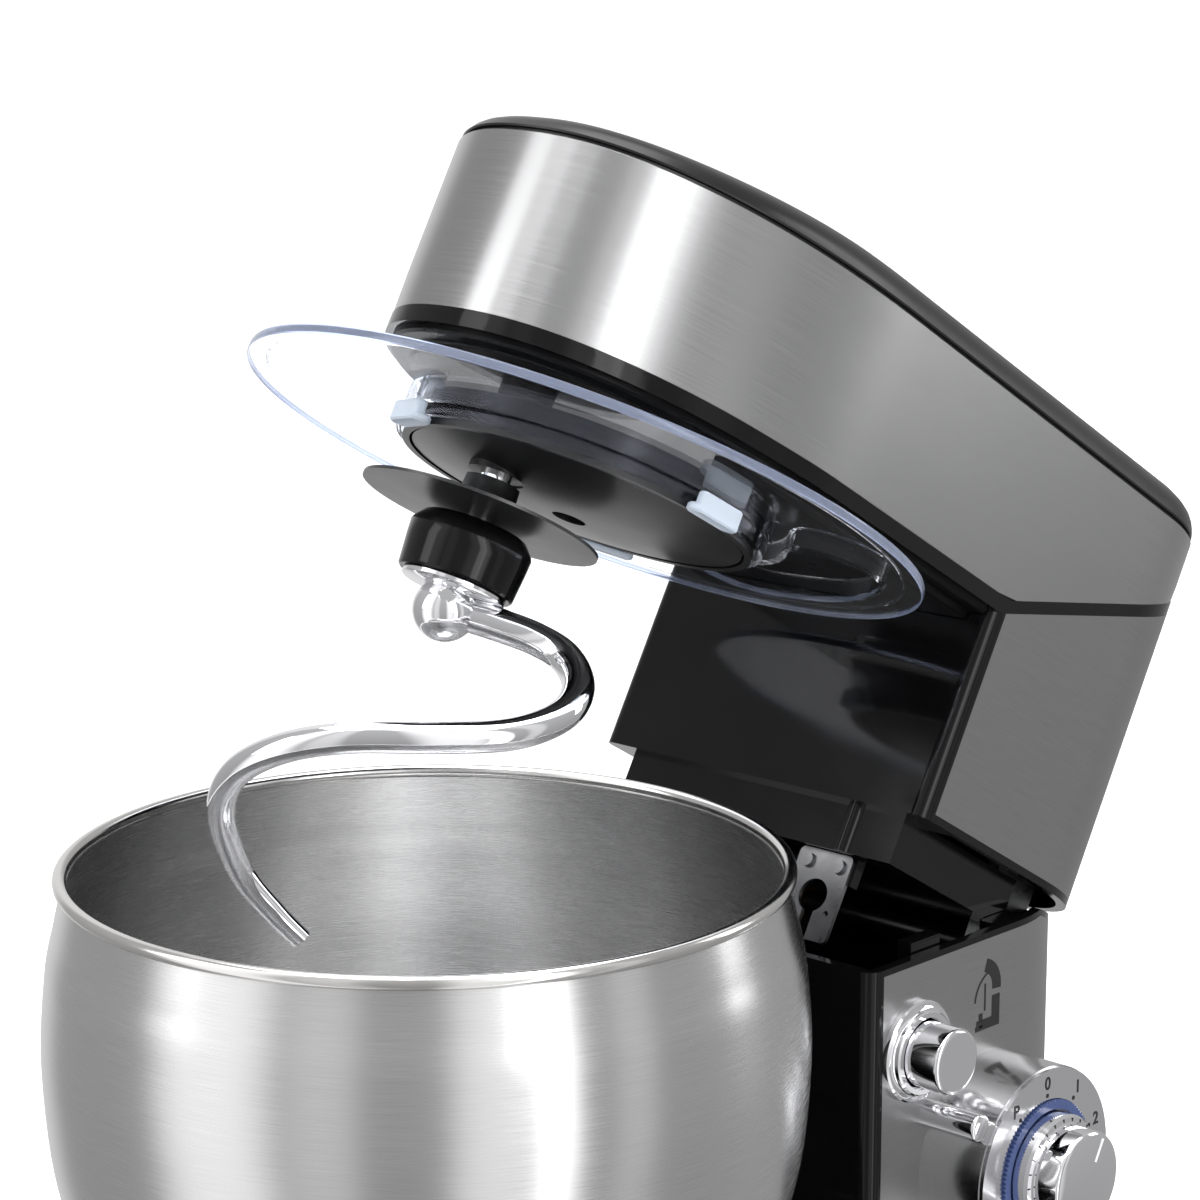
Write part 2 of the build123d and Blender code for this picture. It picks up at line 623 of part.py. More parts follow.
HOUSING_R = 57.0
FRAME_LOW_Z = RIM_Z + 28.0
FRAME_TOP_Z = RIM_Z + 32.0
FRAME_POSTS = [(-48, 38), (-48, -38), (86, 52), (86, -52), (118, 52), (118, -52)]
arm_blank = plan_block(0.0, ARM_FLOOR_Z, BAND_TOP_Z - 0.8)
arm_hollow = plan_block(WALL, ARM_FLOOR_Z + 3.0, BAND_TOP_Z + 9)
shell_leg = plan_block(0.0, LEG_LOW_Z, ARM_FLOOR_Z + 4, FRONT_X, FRONT_R)
leg_hollow = plan_block(WALL, LEG_LOW_Z + 3.0, ARM_FLOOR_Z + 9, FRONT_X + WALL)
leg_opening = plan_block(WALL, LEG_LOW_Z - 1, LEG_LOW_Z + 9, 152.0)
PANEL_HALF_W = 62.0
PANEL_LOW_Z = LEG_LOW_Z + 4
PANEL_TOP_Z = ARM_FLOOR_Z - 4
PANEL_BACK_X = FRONT_X + 1.6
panel_pocket = block((FRONT_X - 1, -PANEL_HALF_W, PANEL_LOW_Z), (PANEL_BACK_X, PANEL_HALF_W, PANEL_TOP_Z))
housing_hole = tube(0, 0, ARM_FLOOR_Z - 1, ARM_FLOOR_Z + 9, HOUSING_R + 0.4)
with BuildPart() as head_shell:
    add(arm_blank)
    add(shell_leg)
    add(arm_hollow, mode=Mode.SUBTRACT)
    add(leg_hollow, mode=Mode.SUBTRACT)
    add(leg_opening, mode=Mode.SUBTRACT)
    add(panel_pocket, mode=Mode.SUBTRACT)
    add(housing_hole, mode=Mode.SUBTRACT)
    add(head_steel_band.part, mode=Mode.SUBTRACT)
    add(leg_steel_wrap.part, mode=Mode.SUBTRACT)
    with BuildSketch(Plane.XY.offset(ARM_FLOOR_Z + 2)):
        with Locations(FRAME_POSTS):
            Circle(4.0)
    extrude(amount=FRAME_LOW_Z - ARM_FLOOR_Z - 2)
write(head_shell.part, "head_shell", on_head=True)

leg_front_panel = block((FRONT_X, -PANEL_HALF_W, PANEL_LOW_Z), (PANEL_BACK_X, PANEL_HALF_W, PANEL_TOP_Z))
write(leg_front_panel, "leg_front_panel", on_head=True)

CAP_INSETS = [(0.3, 0.0), (1.2, 5.0), (4.5, 9.5), (11.0, 13.2), (20.0, 15.8), (32.0, CAP_RISE)]
with BuildPart() as top_cap:
    for cap_inset, cap_height in CAP_INSETS:
        with BuildSketch(Plane.XY.offset(BAND_TOP_Z + cap_height)):
            with BuildLine():
                plan_outline(cap_inset)
            make_face()
    loft()
write(top_cap.part, "top_cap", on_head=True)

# Inner skirt and lock plate, which move inside the column
SKIRT_FRONT_X = 135.0
SKIRT_SIDE = 59.0
SKIRT_LOW_Z = RIM_Z - 66.0
SKIRT_TOP_Z = LEG_LOW_Z
SKIRT_T = 2.5
FAR_WALL = [(136, 158), (205, 158), (205, 142), (165, 104), (148, 108), (140, 128)]
SKIRT_IN_X = SKIRT_FRONT_X + SKIRT_T
SKIRT_REAR_X = 205.0
LOCK_X = 139.0
LOCK_T = 1.5
LOCK_SCREW_YS = [-24.5, -37.5]
LOCK_SCREW_Z = RIM_Z - 70.5
LOCK_SCREW_R = 1.3
LOCK_BACK_LOW_Z = RIM_Z - 75.6
with BuildPart() as leg_skirt:
    with BuildSketch(Plane.XY.offset(SKIRT_LOW_Z)):
        with Locations(((SKIRT_FRONT_X + SKIRT_REAR_X) / 2, 0)):
            Rectangle(SKIRT_REAR_X - SKIRT_FRONT_X, 2 * SKIRT_SIDE)
        with Locations(((SKIRT_IN_X + SKIRT_REAR_X + 10) / 2, 0)):
            Rectangle(SKIRT_REAR_X + 10 - SKIRT_IN_X, 2 * (SKIRT_SIDE - SKIRT_T), mode=Mode.SUBTRACT)
        with Locations((SKIRT_FRONT_X + 1, -39)):
            Circle(3.2)
    extrude(amount=SKIRT_TOP_Z - SKIRT_LOW_Z)
    add(block((145.0, -SKIRT_SIDE + 1, SKIRT_LOW_Z), (SKIRT_REAR_X, SKIRT_SIDE - 1, SKIRT_LOW_Z + SKIRT_T)))
    with BuildSketch(Plane.XZ.offset(-SKIRT_SIDE)):
        with BuildLine():
            Polyline(FAR_WALL, close=True)
        make_face()
    extrude(amount=SKIRT_T)
    with Locations((LOCK_X + LOCK_T + 2, LATCH_Y, (SKIRT_TOP_Z + LOCK_BACK_LOW_Z) / 2)):
        Box(4, 24, SKIRT_TOP_Z - LOCK_BACK_LOW_Z)
    with Locations((LOCK_X + 0.5, LATCH_Y, SKIRT_TOP_Z - 6)):
        Box(5, 24, 12)
write(leg_skirt.part, "leg_skirt", on_head=True)

with BuildPart() as lock_plate:
    with BuildSketch(Plane.YZ.offset(LOCK_X)):
        with Locations((LATCH_Y, BUTTON_Z)):
            RectangleRounded(22, 30, 2)
        with Locations((LATCH_Y, LATCH_Z)):
            Circle(LATCH_R + 0.4, mode=Mode.SUBTRACT)
        with Locations((LATCH_Y, LATCH_Z - 12)):
            Rectangle(4.6, 20, mode=Mode.SUBTRACT)
        with Locations((-38.5, LATCH_Z - 5), (-23.5, LATCH_Z - 5)):
            Circle(1.0, mode=Mode.SUBTRACT)
        with Locations([(screw_y, LOCK_SCREW_Z) for screw_y in LOCK_SCREW_YS]):
            Circle(LOCK_SCREW_R, mode=Mode.SUBTRACT)
    extrude(amount=LOCK_T)
write(lock_plate.part, "lock_plate", on_head=True)

lock_screws = []
for screw_y in LOCK_SCREW_YS:
    with BuildPart() as lock_screw:
        with BuildSketch(Plane.YZ.offset(LOCK_X - 1.4)):
            with Locations((screw_y, LOCK_SCREW_Z)):
                Circle(2.4)
        extrude(amount=1.4)
        with BuildSketch(Plane.YZ.offset(LOCK_X)):
            with Locations((screw_y, LOCK_SCREW_Z)):
                Circle(LOCK_SCREW_R)
        extrude(amount=LOCK_T)
    lock_screws.append(lock_screw.part)

# Arm frame: the plate that carries motor and gears, and the two hinge webs
WEB_Y = 41.0
WEB_T = 5.0
BUSH_R = 6.0
MAIN_BEARING_R = 13.0
COUNTER_BEARING_R = 9.0


def hinge_web(side):
    """Web from the arm plate down to the hinge."""
    start_y = side * WEB_Y - WEB_T / 2
    with BuildPart() as web:
        with BuildSketch(Plane((0, start_y + WEB_T, 0), x_dir=(1, 0, 0), z_dir=(0, -1, 0))):
            with Locations((HINGE_X, HINGE_Z)):
                Circle(EYE_R)
            with Locations((228, FRAME_LOW_Z + 1)):
                Rectangle(30, 2)
            make_hull()
            with Locations((HINGE_X, HINGE_Z)):
                Circle(BUSH_R, mode=Mode.SUBTRACT)
        extrude(amount=WEB_T)
    return web.part


frame_plate = plan_block(9.0, FRAME_LOW_Z, FRAME_TOP_Z)
left_web = hinge_web(1)
right_web = hinge_web(-1)
with BuildPart() as arm_frame:
    add(frame_plate)
    add(left_web)
    add(right_web)
    with BuildSketch(Plane.XY.offset(FRAME_LOW_Z)):
        with Locations((MOTOR_X, 0)):
            Circle(34.5)
        Circle(MAIN_BEARING_R)
        with Locations((COUNTER_X, 0)):
            Circle(COUNTER_BEARING_R)
    extrude(amount=FRAME_TOP_Z - FRAME_LOW_Z, mode=Mode.SUBTRACT)
write(arm_frame.part, "arm_frame", on_head=True)

hinge_bushes = []
for side in (-1, 1):
    inner_y = side * (WEB_Y - WEB_T / 2)
    outer_y = side * (WEB_Y + WEB_T / 2 + 2.4)
    low_y, high_y = sorted((inner_y, outer_y))
    hinge_bushes.append(cross_tube(HINGE_X, HINGE_Z, low_y, high_y, BUSH_R, PIN_R + 0.05))
write(group(*hinge_bushes), "hinge_bushes", on_head=True)

frame_screws = [tube(x, y, FRAME_TOP_Z, FRAME_TOP_Z + 2.4, 3.6) for x, y in FRAME_POSTS]
write(group(*frame_screws, *lock_screws), "head_screws", on_head=True)

# Planetary drive
RING_TEETH = 60
PINION_TEETH = 20
RING_PITCH_R = 45.0
RING_OUTER_R = 50.0
PINION_PITCH_R = 15.0
RING_LOW_Z = RIM_Z + 4.0
RING_TOP_Z = RIM_Z + 13.0
HOUSING_LOW_Z = RIM_Z
housing_outer = tube(0, 0, HOUSING_LOW_Z, FRAME_LOW_Z, HOUSING_R)
with BuildPart() as planet_housing:
    add(housing_outer)
    add(tube(0, 0, HOUSING_LOW_Z - 1, HOUSING_LOW_Z + 3, 55.2), mode=Mode.SUBTRACT)
    add(tube(0, 0, HOUSING_LOW_Z - 1, FRAME_LOW_Z - 4, RING_OUTER_R), mode=Mode.SUBTRACT)
    add(tube(0, 0, HOUSING_LOW_Z - 1, FRAME_LOW_Z + 1, MAIN_BEARING_R), mode=Mode.SUBTRACT)
write(planet_housing.part, "planet_housing", on_head=True)
write(tube(0, 0, HOUSING_LOW_Z - 2.0, HOUSING_LOW_Z, 57.4, 55.0), "planet_trim_ring", on_head=True)

ring_phase = ORBIT_ANGLE + 180.0 / RING_TEETH
with BuildPart() as ring_gear:
    with BuildSketch(Plane.XY.offset(RING_LOW_Z)):
        Circle(RING_OUTER_R)
        with BuildLine():
            toothed(RING_TEETH, RING_PITCH_R + GEAR_DEDENDUM, RING_PITCH_R - GEAR_ADDENDUM, ring_phase)
        make_face(mode=Mode.SUBTRACT)
    extrude(amount=RING_TOP_Z - RING_LOW_Z)
write(ring_gear.part, "ring_gear", on_head=True)

DISC_R = 54.2
DISC_TOP_Z = RIM_Z + 2.0
DISC_LOW_Z = RIM_Z - 8.5
SHAFT_R = 6.0
SHAFT_LOW_END_Z = DISC_LOW_Z + 5.5
BUSH_OUTER_R = 9.0
RUNNING_GAP = 0.05
COUNTER_SHAFT_R = 5.0
HOOK_SHAFT_R = 5.0
with BuildPart() as planet_disc:
    with BuildSketch(Plane.XZ):
        with BuildLine():
            Line((0, DISC_LOW_Z), (0, DISC_TOP_Z + 6))
            Polyline([(0, DISC_TOP_Z + 6), (12, DISC_TOP_Z + 6), (12, DISC_TOP_Z), (DISC_R, DISC_TOP_Z)])
            Line((DISC_R, DISC_TOP_Z), (DISC_R, RIM_Z - 1.6))
            ThreePointArc((DISC_R, RIM_Z - 1.6), (30, RIM_Z - 6.4), (0, DISC_LOW_Z))
        make_face()
    revolve(axis=Axis.Z)
    add(tube(HOOK_X, HOOK_Y, DISC_LOW_Z - 5, DISC_TOP_Z + 9, BUSH_OUTER_R), mode=Mode.SUBTRACT)
    add(tube(0, 0, DISC_LOW_Z - 5, DISC_LOW_Z + 4, 5.5), mode=Mode.SUBTRACT)
    add(tube(0, 0, SHAFT_LOW_END_Z, DISC_TOP_Z + 9, SHAFT_R), mode=Mode.SUBTRACT)
write(planet_disc.part, "planet_disc", on_head=True)

MAIN_LOW_Z = RIM_Z + 36.0
MAIN_TOP_Z = RIM_Z + 44.0
BRIDGE_LOW_Z = RIM_Z + 48.0
BRIDGE_TOP_Z = RIM_Z + 51.0
BRIDGE_BEARING_R = 10.0
write(tube(0, 0, SHAFT_LOW_END_Z, BRIDGE_TOP_Z + 1, SHAFT_R), "planet_shaft", on_head=True)
main_gear = spur_gear(0, 0, MAIN_LOW_Z, MAIN_TOP_Z, 56, 35.0, 0.0, SHAFT_R)
write(main_gear, "main_gear", on_head=True)
planet_bearings = [
    tube(0, 0, FRAME_LOW_Z, FRAME_TOP_Z, MAIN_BEARING_R, SHAFT_R + RUNNING_GAP),
    tube(0, 0, BRIDGE_LOW_Z, BRIDGE_TOP_Z, BRIDGE_BEARING_R, SHAFT_R + RUNNING_GAP),
    tube(COUNTER_X, 0, FRAME_LOW_Z, FRAME_TOP_Z, COUNTER_BEARING_R, COUNTER_SHAFT_R + RUNNING_GAP),
    tube(COUNTER_X, 0, BRIDGE_LOW_Z, BRIDGE_TOP_Z, COUNTER_BEARING_R, COUNTER_SHAFT_R + RUNNING_GAP),
]
write(group(*planet_bearings), "gear_bearings", on_head=True)

with BuildPart() as gear_bridge:
    with BuildSketch(Plane.XY.offset(BRIDGE_LOW_Z)):
        with Locations((14, 0)):
            RectangleRounded(104, 76, 8)
        Circle(BRIDGE_BEARING_R, mode=Mode.SUBTRACT)
        with Locations((COUNTER_X, 0)):
            Circle(COUNTER_BEARING_R, mode=Mode.SUBTRACT)
    extrude(amount=BRIDGE_TOP_Z - BRIDGE_LOW_Z)
    with BuildSketch(Plane.XY.offset(FRAME_TOP_Z)):
        with Locations((-31, 31), (-31, -31), (59, 30), (59, -30)):
            Circle(3.5)
    extrude(amount=BRIDGE_LOW_Z - FRAME_TOP_Z)
write(gear_bridge.part, "gear_bridge", on_head=True)

PULLEY_LOW_Z = RIM_Z + 55.0
PULLEY_TOP_Z = RIM_Z + 66.0
COUNTER_GROOVE_R = 33.0
MOTOR_GROOVE_R = 11.0
BELT_LOW_Z = PULLEY_LOW_Z + 2.2
BELT_W = 6.6
BELT_LIFT = 0.3          # the belt's inner face over the groove
BELT_T = 2.0
MOTOR_SHAFT_R = 4.0


def belt_pulley(x, groove_r, bore):
    """Belt pulley with two flanges."""
    flange = 1.2
    with BuildPart() as pulley:
        add(tube(x, 0, PULLEY_LOW_Z, PULLEY_TOP_Z, groove_r, bore))
        add(tube(x, 0, PULLEY_LOW_Z, PULLEY_LOW_Z + flange, groove_r + 3.2, bore))
        add(tube(x, 0, PULLEY_TOP_Z - flange, PULLEY_TOP_Z, groove_r + 3.2, bore))
    return pulley.part


counter_pinion = spur_gear(COUNTER_X, 0, MAIN_LOW_Z, MAIN_TOP_Z, 14, 8.75, 180.0 / 14, 4.0)
with BuildPart() as counter_shaft:
    add(tube(COUNTER_X, 0, FRAME_LOW_Z + 0.5, PULLEY_TOP_Z + 1, COUNTER_SHAFT_R))
    add(counter_pinion)
write(counter_shaft.part, "counter_shaft", on_head=True)
write(belt_pulley(COUNTER_X, COUNTER_GROOVE_R, COUNTER_SHAFT_R), "counter_pulley", on_head=True)

with BuildPart() as drive_belt:
    for lift, belt_mode in (BELT_LIFT + BELT_T, Mode.ADD), (BELT_LIFT, Mode.SUBTRACT):
        with BuildSketch(Plane.XY.offset(BELT_LOW_Z)):
            with Locations((COUNTER_X, 0)):
                Circle(COUNTER_GROOVE_R + lift)
            with Locations((MOTOR_X, 0)):
                Circle(MOTOR_GROOVE_R + lift)
            make_hull()
        extrude(amount=BELT_W, mode=belt_mode)
write(drive_belt.part, "drive_belt", on_head=True)

# Motor, upright in the leg
MOTOR_R = 34.0
CAN_LOW_Z = RIM_Z - 36.0
CAN_TOP_Z = RIM_Z + 46.0
CAN_T = 2.0
MOTOR_BUSH_R = 8.0
MOTOR_BUSH_H = 6.0
STACK_LOW_Z = RIM_Z - 24.0
STACK_TOP_Z = RIM_Z + 20.0
STACK_GAP_R = 21.0
ROTOR_R = 20.2
COMMUTATOR_R = 10.0
FAN_LOW_Z = RIM_Z - 44.0
with BuildPart() as motor_can:
    add(tube(MOTOR_X, 0, CAN_LOW_Z, CAN_TOP_Z, MOTOR_R))
    add(tube(MOTOR_X, 0, FRAME_TOP_Z, FRAME_TOP_Z + 3, 41.0))
    add(tube(MOTOR_X, 0, CAN_LOW_Z + 3, CAN_TOP_Z - 3, MOTOR_R - CAN_T), mode=Mode.SUBTRACT)
    add(tube(MOTOR_X, 0, CAN_LOW_Z - 1, CAN_TOP_Z + 1, MOTOR_BUSH_R), mode=Mode.SUBTRACT)
    with BuildSketch(Plane.XY.offset(CAN_TOP_Z - 4)):
        with Locations((MOTOR_X, 0)):
            with PolarLocations(21, 8):
                Circle(4.0)
    extrude(amount=5, mode=Mode.SUBTRACT)
write(motor_can.part, "motor_can", on_head=True)
motor_stator = tube(MOTOR_X, 0, STACK_LOW_Z, STACK_TOP_Z, MOTOR_R - CAN_T, STACK_GAP_R)
write(motor_stator, "motor_stator", on_head=True)
bush_bore = MOTOR_SHAFT_R + RUNNING_GAP
lower_bush = tube(MOTOR_X, 0, CAN_LOW_Z, CAN_LOW_Z + MOTOR_BUSH_H, MOTOR_BUSH_R, bush_bore)
upper_bush = tube(MOTOR_X, 0, CAN_TOP_Z - MOTOR_BUSH_H, CAN_TOP_Z, MOTOR_BUSH_R, bush_bore)
write(group(lower_bush, upper_bush), "motor_bearings", on_head=True)

with BuildPart() as motor_rotor:
    add(tube(MOTOR_X, 0, FAN_LOW_Z - 0.5, PULLEY_TOP_Z + 1, MOTOR_SHAFT_R))
    add(tube(MOTOR_X, 0, STACK_LOW_Z, STACK_TOP_Z, ROTOR_R))
    add(tube(MOTOR_X, 0, STACK_TOP_Z + 3, STACK_TOP_Z + 17, COMMUTATOR_R))
    with BuildSketch(Plane.XY.offset(STACK_LOW_Z)):
        with Locations((MOTOR_X, 0)):
            with PolarLocations(18.7, 12):
                Rectangle(4.4, 2.0)
    extrude(amount=STACK_TOP_Z - STACK_LOW_Z, mode=Mode.SUBTRACT)
write(motor_rotor.part, "motor_rotor", on_head=True)
brush_pair = []
for side in (-1, 1):
    low_y, high_y = sorted((side * (COMMUTATOR_R + 0.4), side * (MOTOR_R - CAN_T - 0.6)))
    brush_pair.append(block((MOTOR_X - 4, low_y, RIM_Z + 26), (MOTOR_X + 4, high_y, RIM_Z + 34)))
write(group(*brush_pair), "motor_brushes", on_head=True)

with BuildPart() as motor_fan:
    add(tube(MOTOR_X, 0, FAN_LOW_Z, FAN_LOW_Z + 6, 9.0, MOTOR_SHAFT_R))
    add(tube(MOTOR_X, 0, FAN_LOW_Z, FAN_LOW_Z + 1.2, 29.0, MOTOR_SHAFT_R))
    with BuildSketch(Plane.XY.offset(FAN_LOW_Z + 1)):
        with Locations((MOTOR_X, 0)):
            with PolarLocations(18.5, 12):
                Rectangle(20, 1.4)
    extrude(amount=5)
write(motor_fan.part, "motor_fan", on_head=True)
write(belt_pulley(MOTOR_X, MOTOR_GROOVE_R, MOTOR_SHAFT_R), "motor_pulley", on_head=True)

# Hook drive and hook -----------------------------------------------------------------

PINION_LOW_Z = RING_LOW_Z + 0.5
PINION_TOP_Z = RING_TOP_Z - 0.5
hook_pinion = spur_gear(HOOK_X, HOOK_Y, PINION_LOW_Z, PINION_TOP_Z, PINION_TEETH, PINION_PITCH_R,
                        ORBIT_ANGLE, HOOK_SHAFT_R)
write(hook_pinion, "hook_pinion", on_head=True)
hook_bush = tube(HOOK_X, HOOK_Y, RIM_Z - 7.0, RIM_Z + 3.4, BUSH_OUTER_R, HOOK_SHAFT_R + RUNNING_GAP)
write(hook_bush, "hook_shaft_bush", on_head=True)
SHAFT_LOW_Z = RIM_Z - 40.0
CROSS_PIN_Z = RIM_Z - 33.0
CROSS_PIN_R = 1.5
CROSS_PIN_HALF = 9.0
with BuildPart() as hook_shaft:
    add(tube(HOOK_X, HOOK_Y, SHAFT_LOW_Z, RING_TOP_Z + 1.5, HOOK_SHAFT_R))
    with BuildSketch(Plane((HOOK_X, HOOK_Y - CROSS_PIN_HALF, CROSS_PIN_Z), x_dir=(1, 0, 0), z_dir=(0, 1, 0))):
        Circle(CROSS_PIN_R)
    extrude(amount=2 * CROSS_PIN_HALF)
write(hook_shaft.part, "hook_shaft", on_head=True)

GUARD_DISC_R = 38.0


def at_hook(profile):
    """Ring turned about the hook shaft from a list of (radius, height) points."""
    with BuildPart() as turned:
        with BuildSketch(Plane.XZ):
            with BuildLine():
                Polyline(profile, close=True)
            make_face()
        revolve(axis=Axis.Z)
    return turned.part.moved(Location((HOOK_X, HOOK_Y, 0)))


disc_low = RIM_Z - 22.6
hook_guard = at_hook([(HOOK_SHAFT_R, disc_low), (GUARD_DISC_R, disc_low + 1.6),
                      (GUARD_DISC_R, disc_low + 2.6), (14.0, disc_low + 3.2), (10.0, disc_low + 5.2),
                      (HOOK_SHAFT_R, disc_low + 5.2)])
write(hook_guard, "hook_guard_disc", on_head=True)
COLLAR_TOP_Z = RIM_Z - 23.0
COLLAR_LOW_Z = RIM_Z - 43.0
with BuildPart() as hook_collar:
    add(at_hook([(HOOK_SHAFT_R, COLLAR_TOP_Z), (16.6, COLLAR_TOP_Z), (19.4, COLLAR_TOP_Z - 4.0),
                 (18.6, COLLAR_LOW_Z), (HOOK_SHAFT_R, COLLAR_LOW_Z)]))
    with Locations((HOOK_X, HOOK_Y, CROSS_PIN_Z)):
        Box(2 * CROSS_PIN_R, 2 * CROSS_PIN_HALF, 2 * CROSS_PIN_R, mode=Mode.SUBTRACT)
write(hook_collar.part, "hook_collar", on_head=True)

# Hook rod: points from the ball outwards and round, across and toward the front, then to the tip
RIGHT_ANGLE = -51.3
BALL_Z = RIM_Z - 51.0
ROD_R = 4.0
BALL_R = 10.0
BEND_SHARE = 0.45        # how much of the shorter run each bend takes
HOOK_PATH = [(9, 0, 1), (27, 1, 0), (41, 8, -4), (46, 21, -16), (37, 34, -30), (16, 43, -43), (-9, 43, -53),
             (-31, 31, -64), (-41, 9, -79), (-31, -10, -95), (-7, -20, -107)]


def hook_point(across, near, rise):
    """Point from its distance across, distance toward the front and height from the ball."""
    right = math.radians(RIGHT_ANGLE)
    near_angle = right - math.pi / 2
    x = HOOK_X + across * math.cos(right) + near * math.cos(near_angle)
    y = HOOK_Y + across * math.sin(right) + near * math.sin(near_angle)
    return Vector(x, y, BALL_Z + rise)


rod_points = [hook_point(*spot) for spot in HOOK_PATH]
rod_radii = []
for before, here, after in zip(rod_points, rod_points[1:], rod_points[2:]):
    run_in = here - before
    run_out = after - here
    turn = math.radians(run_in.get_angle(run_out))
    shorter = min(run_in.length, run_out.length)
    rod_radii.append(BEND_SHARE * shorter / math.tan(turn / 2))
with BuildPart() as dough_hook:
    with BuildLine() as rod_line:
        FilletPolyline(*rod_points, radius=rod_radii)
    with BuildSketch(Plane(rod_points[0], z_dir=rod_points[1] - rod_points[0])):
        Circle(ROD_R)
    sweep(path=rod_line.line)
    with Locations((HOOK_X, HOOK_Y, BALL_Z)):
        Sphere(BALL_R)
    add(tube(HOOK_X, HOOK_Y, BALL_Z, COLLAR_LOW_Z, 9.0))
    add(tube(HOOK_X, HOOK_Y, COLLAR_LOW_Z - 1.6, COLLAR_LOW_Z, 16.5))
    split(bisect_by=Plane.XY.offset(COLLAR_LOW_Z), keep=Keep.BOTTOM)
write(dough_hook.part, "dough_hook", on_head=True)

# Splash guard with its fill port, held by clips on the drive housing
GUARD_R = 110.8
GUARD_Z = RIM_Z + 5.2
PORT_R = 82.0
PORT_START = -52
PORT_SWEEP = 50
PORT_W = 30.0
NECK_IN_R = 58.4
NECK_OUT_R = 60.2
NECK_TOP_Z = RIM_Z + 14.0
with BuildPart() as splash_guard:
    with BuildSketch(Plane.XZ):
        with BuildLine():
            Polyline([(NECK_IN_R, RIM_Z), (NECK_OUT_R, RIM_Z), (NECK_OUT_R, GUARD_Z - 1),
                      (GUARD_R, GUARD_Z - 1), (GUARD_R, GUARD_Z + 1), (NECK_OUT_R, GUARD_Z + 1),
                      (NECK_OUT_R, NECK_TOP_Z), (NECK_IN_R, NECK_TOP_Z)], close=True)
        make_face()
    revolve(axis=Axis.Z)
    with BuildSketch(Plane.XY.offset(GUARD_Z + 1)):
        SlotArc(CenterArc((0, 0), PORT_R, PORT_START, PORT_SWEEP), PORT_W + 4)
    extrude(amount=6)
    with BuildSketch(Plane.XY.offset(GUARD_Z - 3)):
        SlotArc(CenterArc((0, 0), PORT_R, PORT_START, PORT_SWEEP), PORT_W)
    extrude(amount=20, mode=Mode.SUBTRACT)
write(splash_guard.part, "splash_guard", on_head=True)

CLIP_ANGLES = [158.0, -96.0, 30.0]
CLIP_LOW_Z = RIM_Z - 3.0
clip_list = []
for clip_angle in CLIP_ANGLES:
    with BuildPart() as clip:
        with BuildSketch(Plane((0, 0, CLIP_LOW_Z))):
            with Locations((62.4, 0)):
                Rectangle(4.0, 18)
        extrude(amount=6.6)
        with BuildSketch(Plane((0, 0, CLIP_LOW_Z))):
            with Locations((60.9, 0)):
                Rectangle(6.8, 20)
        extrude(amount=2.6)
    clip_list.append(clip.part.rotate(Axis.Z, clip_angle))
write(group(*clip_list), "guard_clips", on_head=True)
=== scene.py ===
"""Looks of the tilt-head stand mixer: detailed pieces, materials, studio and camera."""
import math

import bmesh
import bpy
from mathutils import Matrix, Vector


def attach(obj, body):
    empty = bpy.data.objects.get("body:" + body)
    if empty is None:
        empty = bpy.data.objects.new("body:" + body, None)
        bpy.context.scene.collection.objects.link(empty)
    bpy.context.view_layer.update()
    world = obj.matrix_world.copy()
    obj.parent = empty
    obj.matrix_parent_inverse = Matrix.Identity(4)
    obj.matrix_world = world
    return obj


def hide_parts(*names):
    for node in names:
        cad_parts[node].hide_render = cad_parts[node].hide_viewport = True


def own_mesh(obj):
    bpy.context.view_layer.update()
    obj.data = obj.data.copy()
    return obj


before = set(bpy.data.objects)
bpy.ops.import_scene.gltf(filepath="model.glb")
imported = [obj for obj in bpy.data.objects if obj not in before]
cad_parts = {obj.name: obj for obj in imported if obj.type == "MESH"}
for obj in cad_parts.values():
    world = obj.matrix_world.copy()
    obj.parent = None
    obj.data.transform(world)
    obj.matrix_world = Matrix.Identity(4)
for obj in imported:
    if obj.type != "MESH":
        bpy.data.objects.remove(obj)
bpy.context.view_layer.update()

# Dimensions of the mixer, millimetres, with the bowl's axis at x = 0 and the head shut
BOWL_X = -108.4
HINGE = (227.3, 150.9)
HEAD_REST = 30.4
RIM_Z = 222.0
RIM_R = 110.0
HALF_W = 69.6
NOSE_START_X = 47.0
NOSE_LENGTH = 127.0
NOSE_POWER = 2.3
REAR_X = 257.2
CORNER_R = 50.0
STEEL_FRONT_X = 135.3
SEAM_RISE = 0.3653
BAND_LOW_Z = RIM_Z + 27.4
BAND_TOP_Z = RIM_Z + 85.3
PANEL_Y = -HALF_W
DIAL_X = 190.0
DIAL_Z = RIM_Z - 126.0
BOSS_DEPTH = 24.0
BUTTON_X = 152.0
BUTTON_Z = RIM_Z - 81.2
ICON_Z = RIM_Z - 72.0
ORBIT_R = 30.0
ORBIT_ANGLE = math.radians(165.5)
HOOK_X = ORBIT_R * math.cos(ORBIT_ANGLE)
HOOK_Y = ORBIT_R * math.sin(ORBIT_ANGLE)

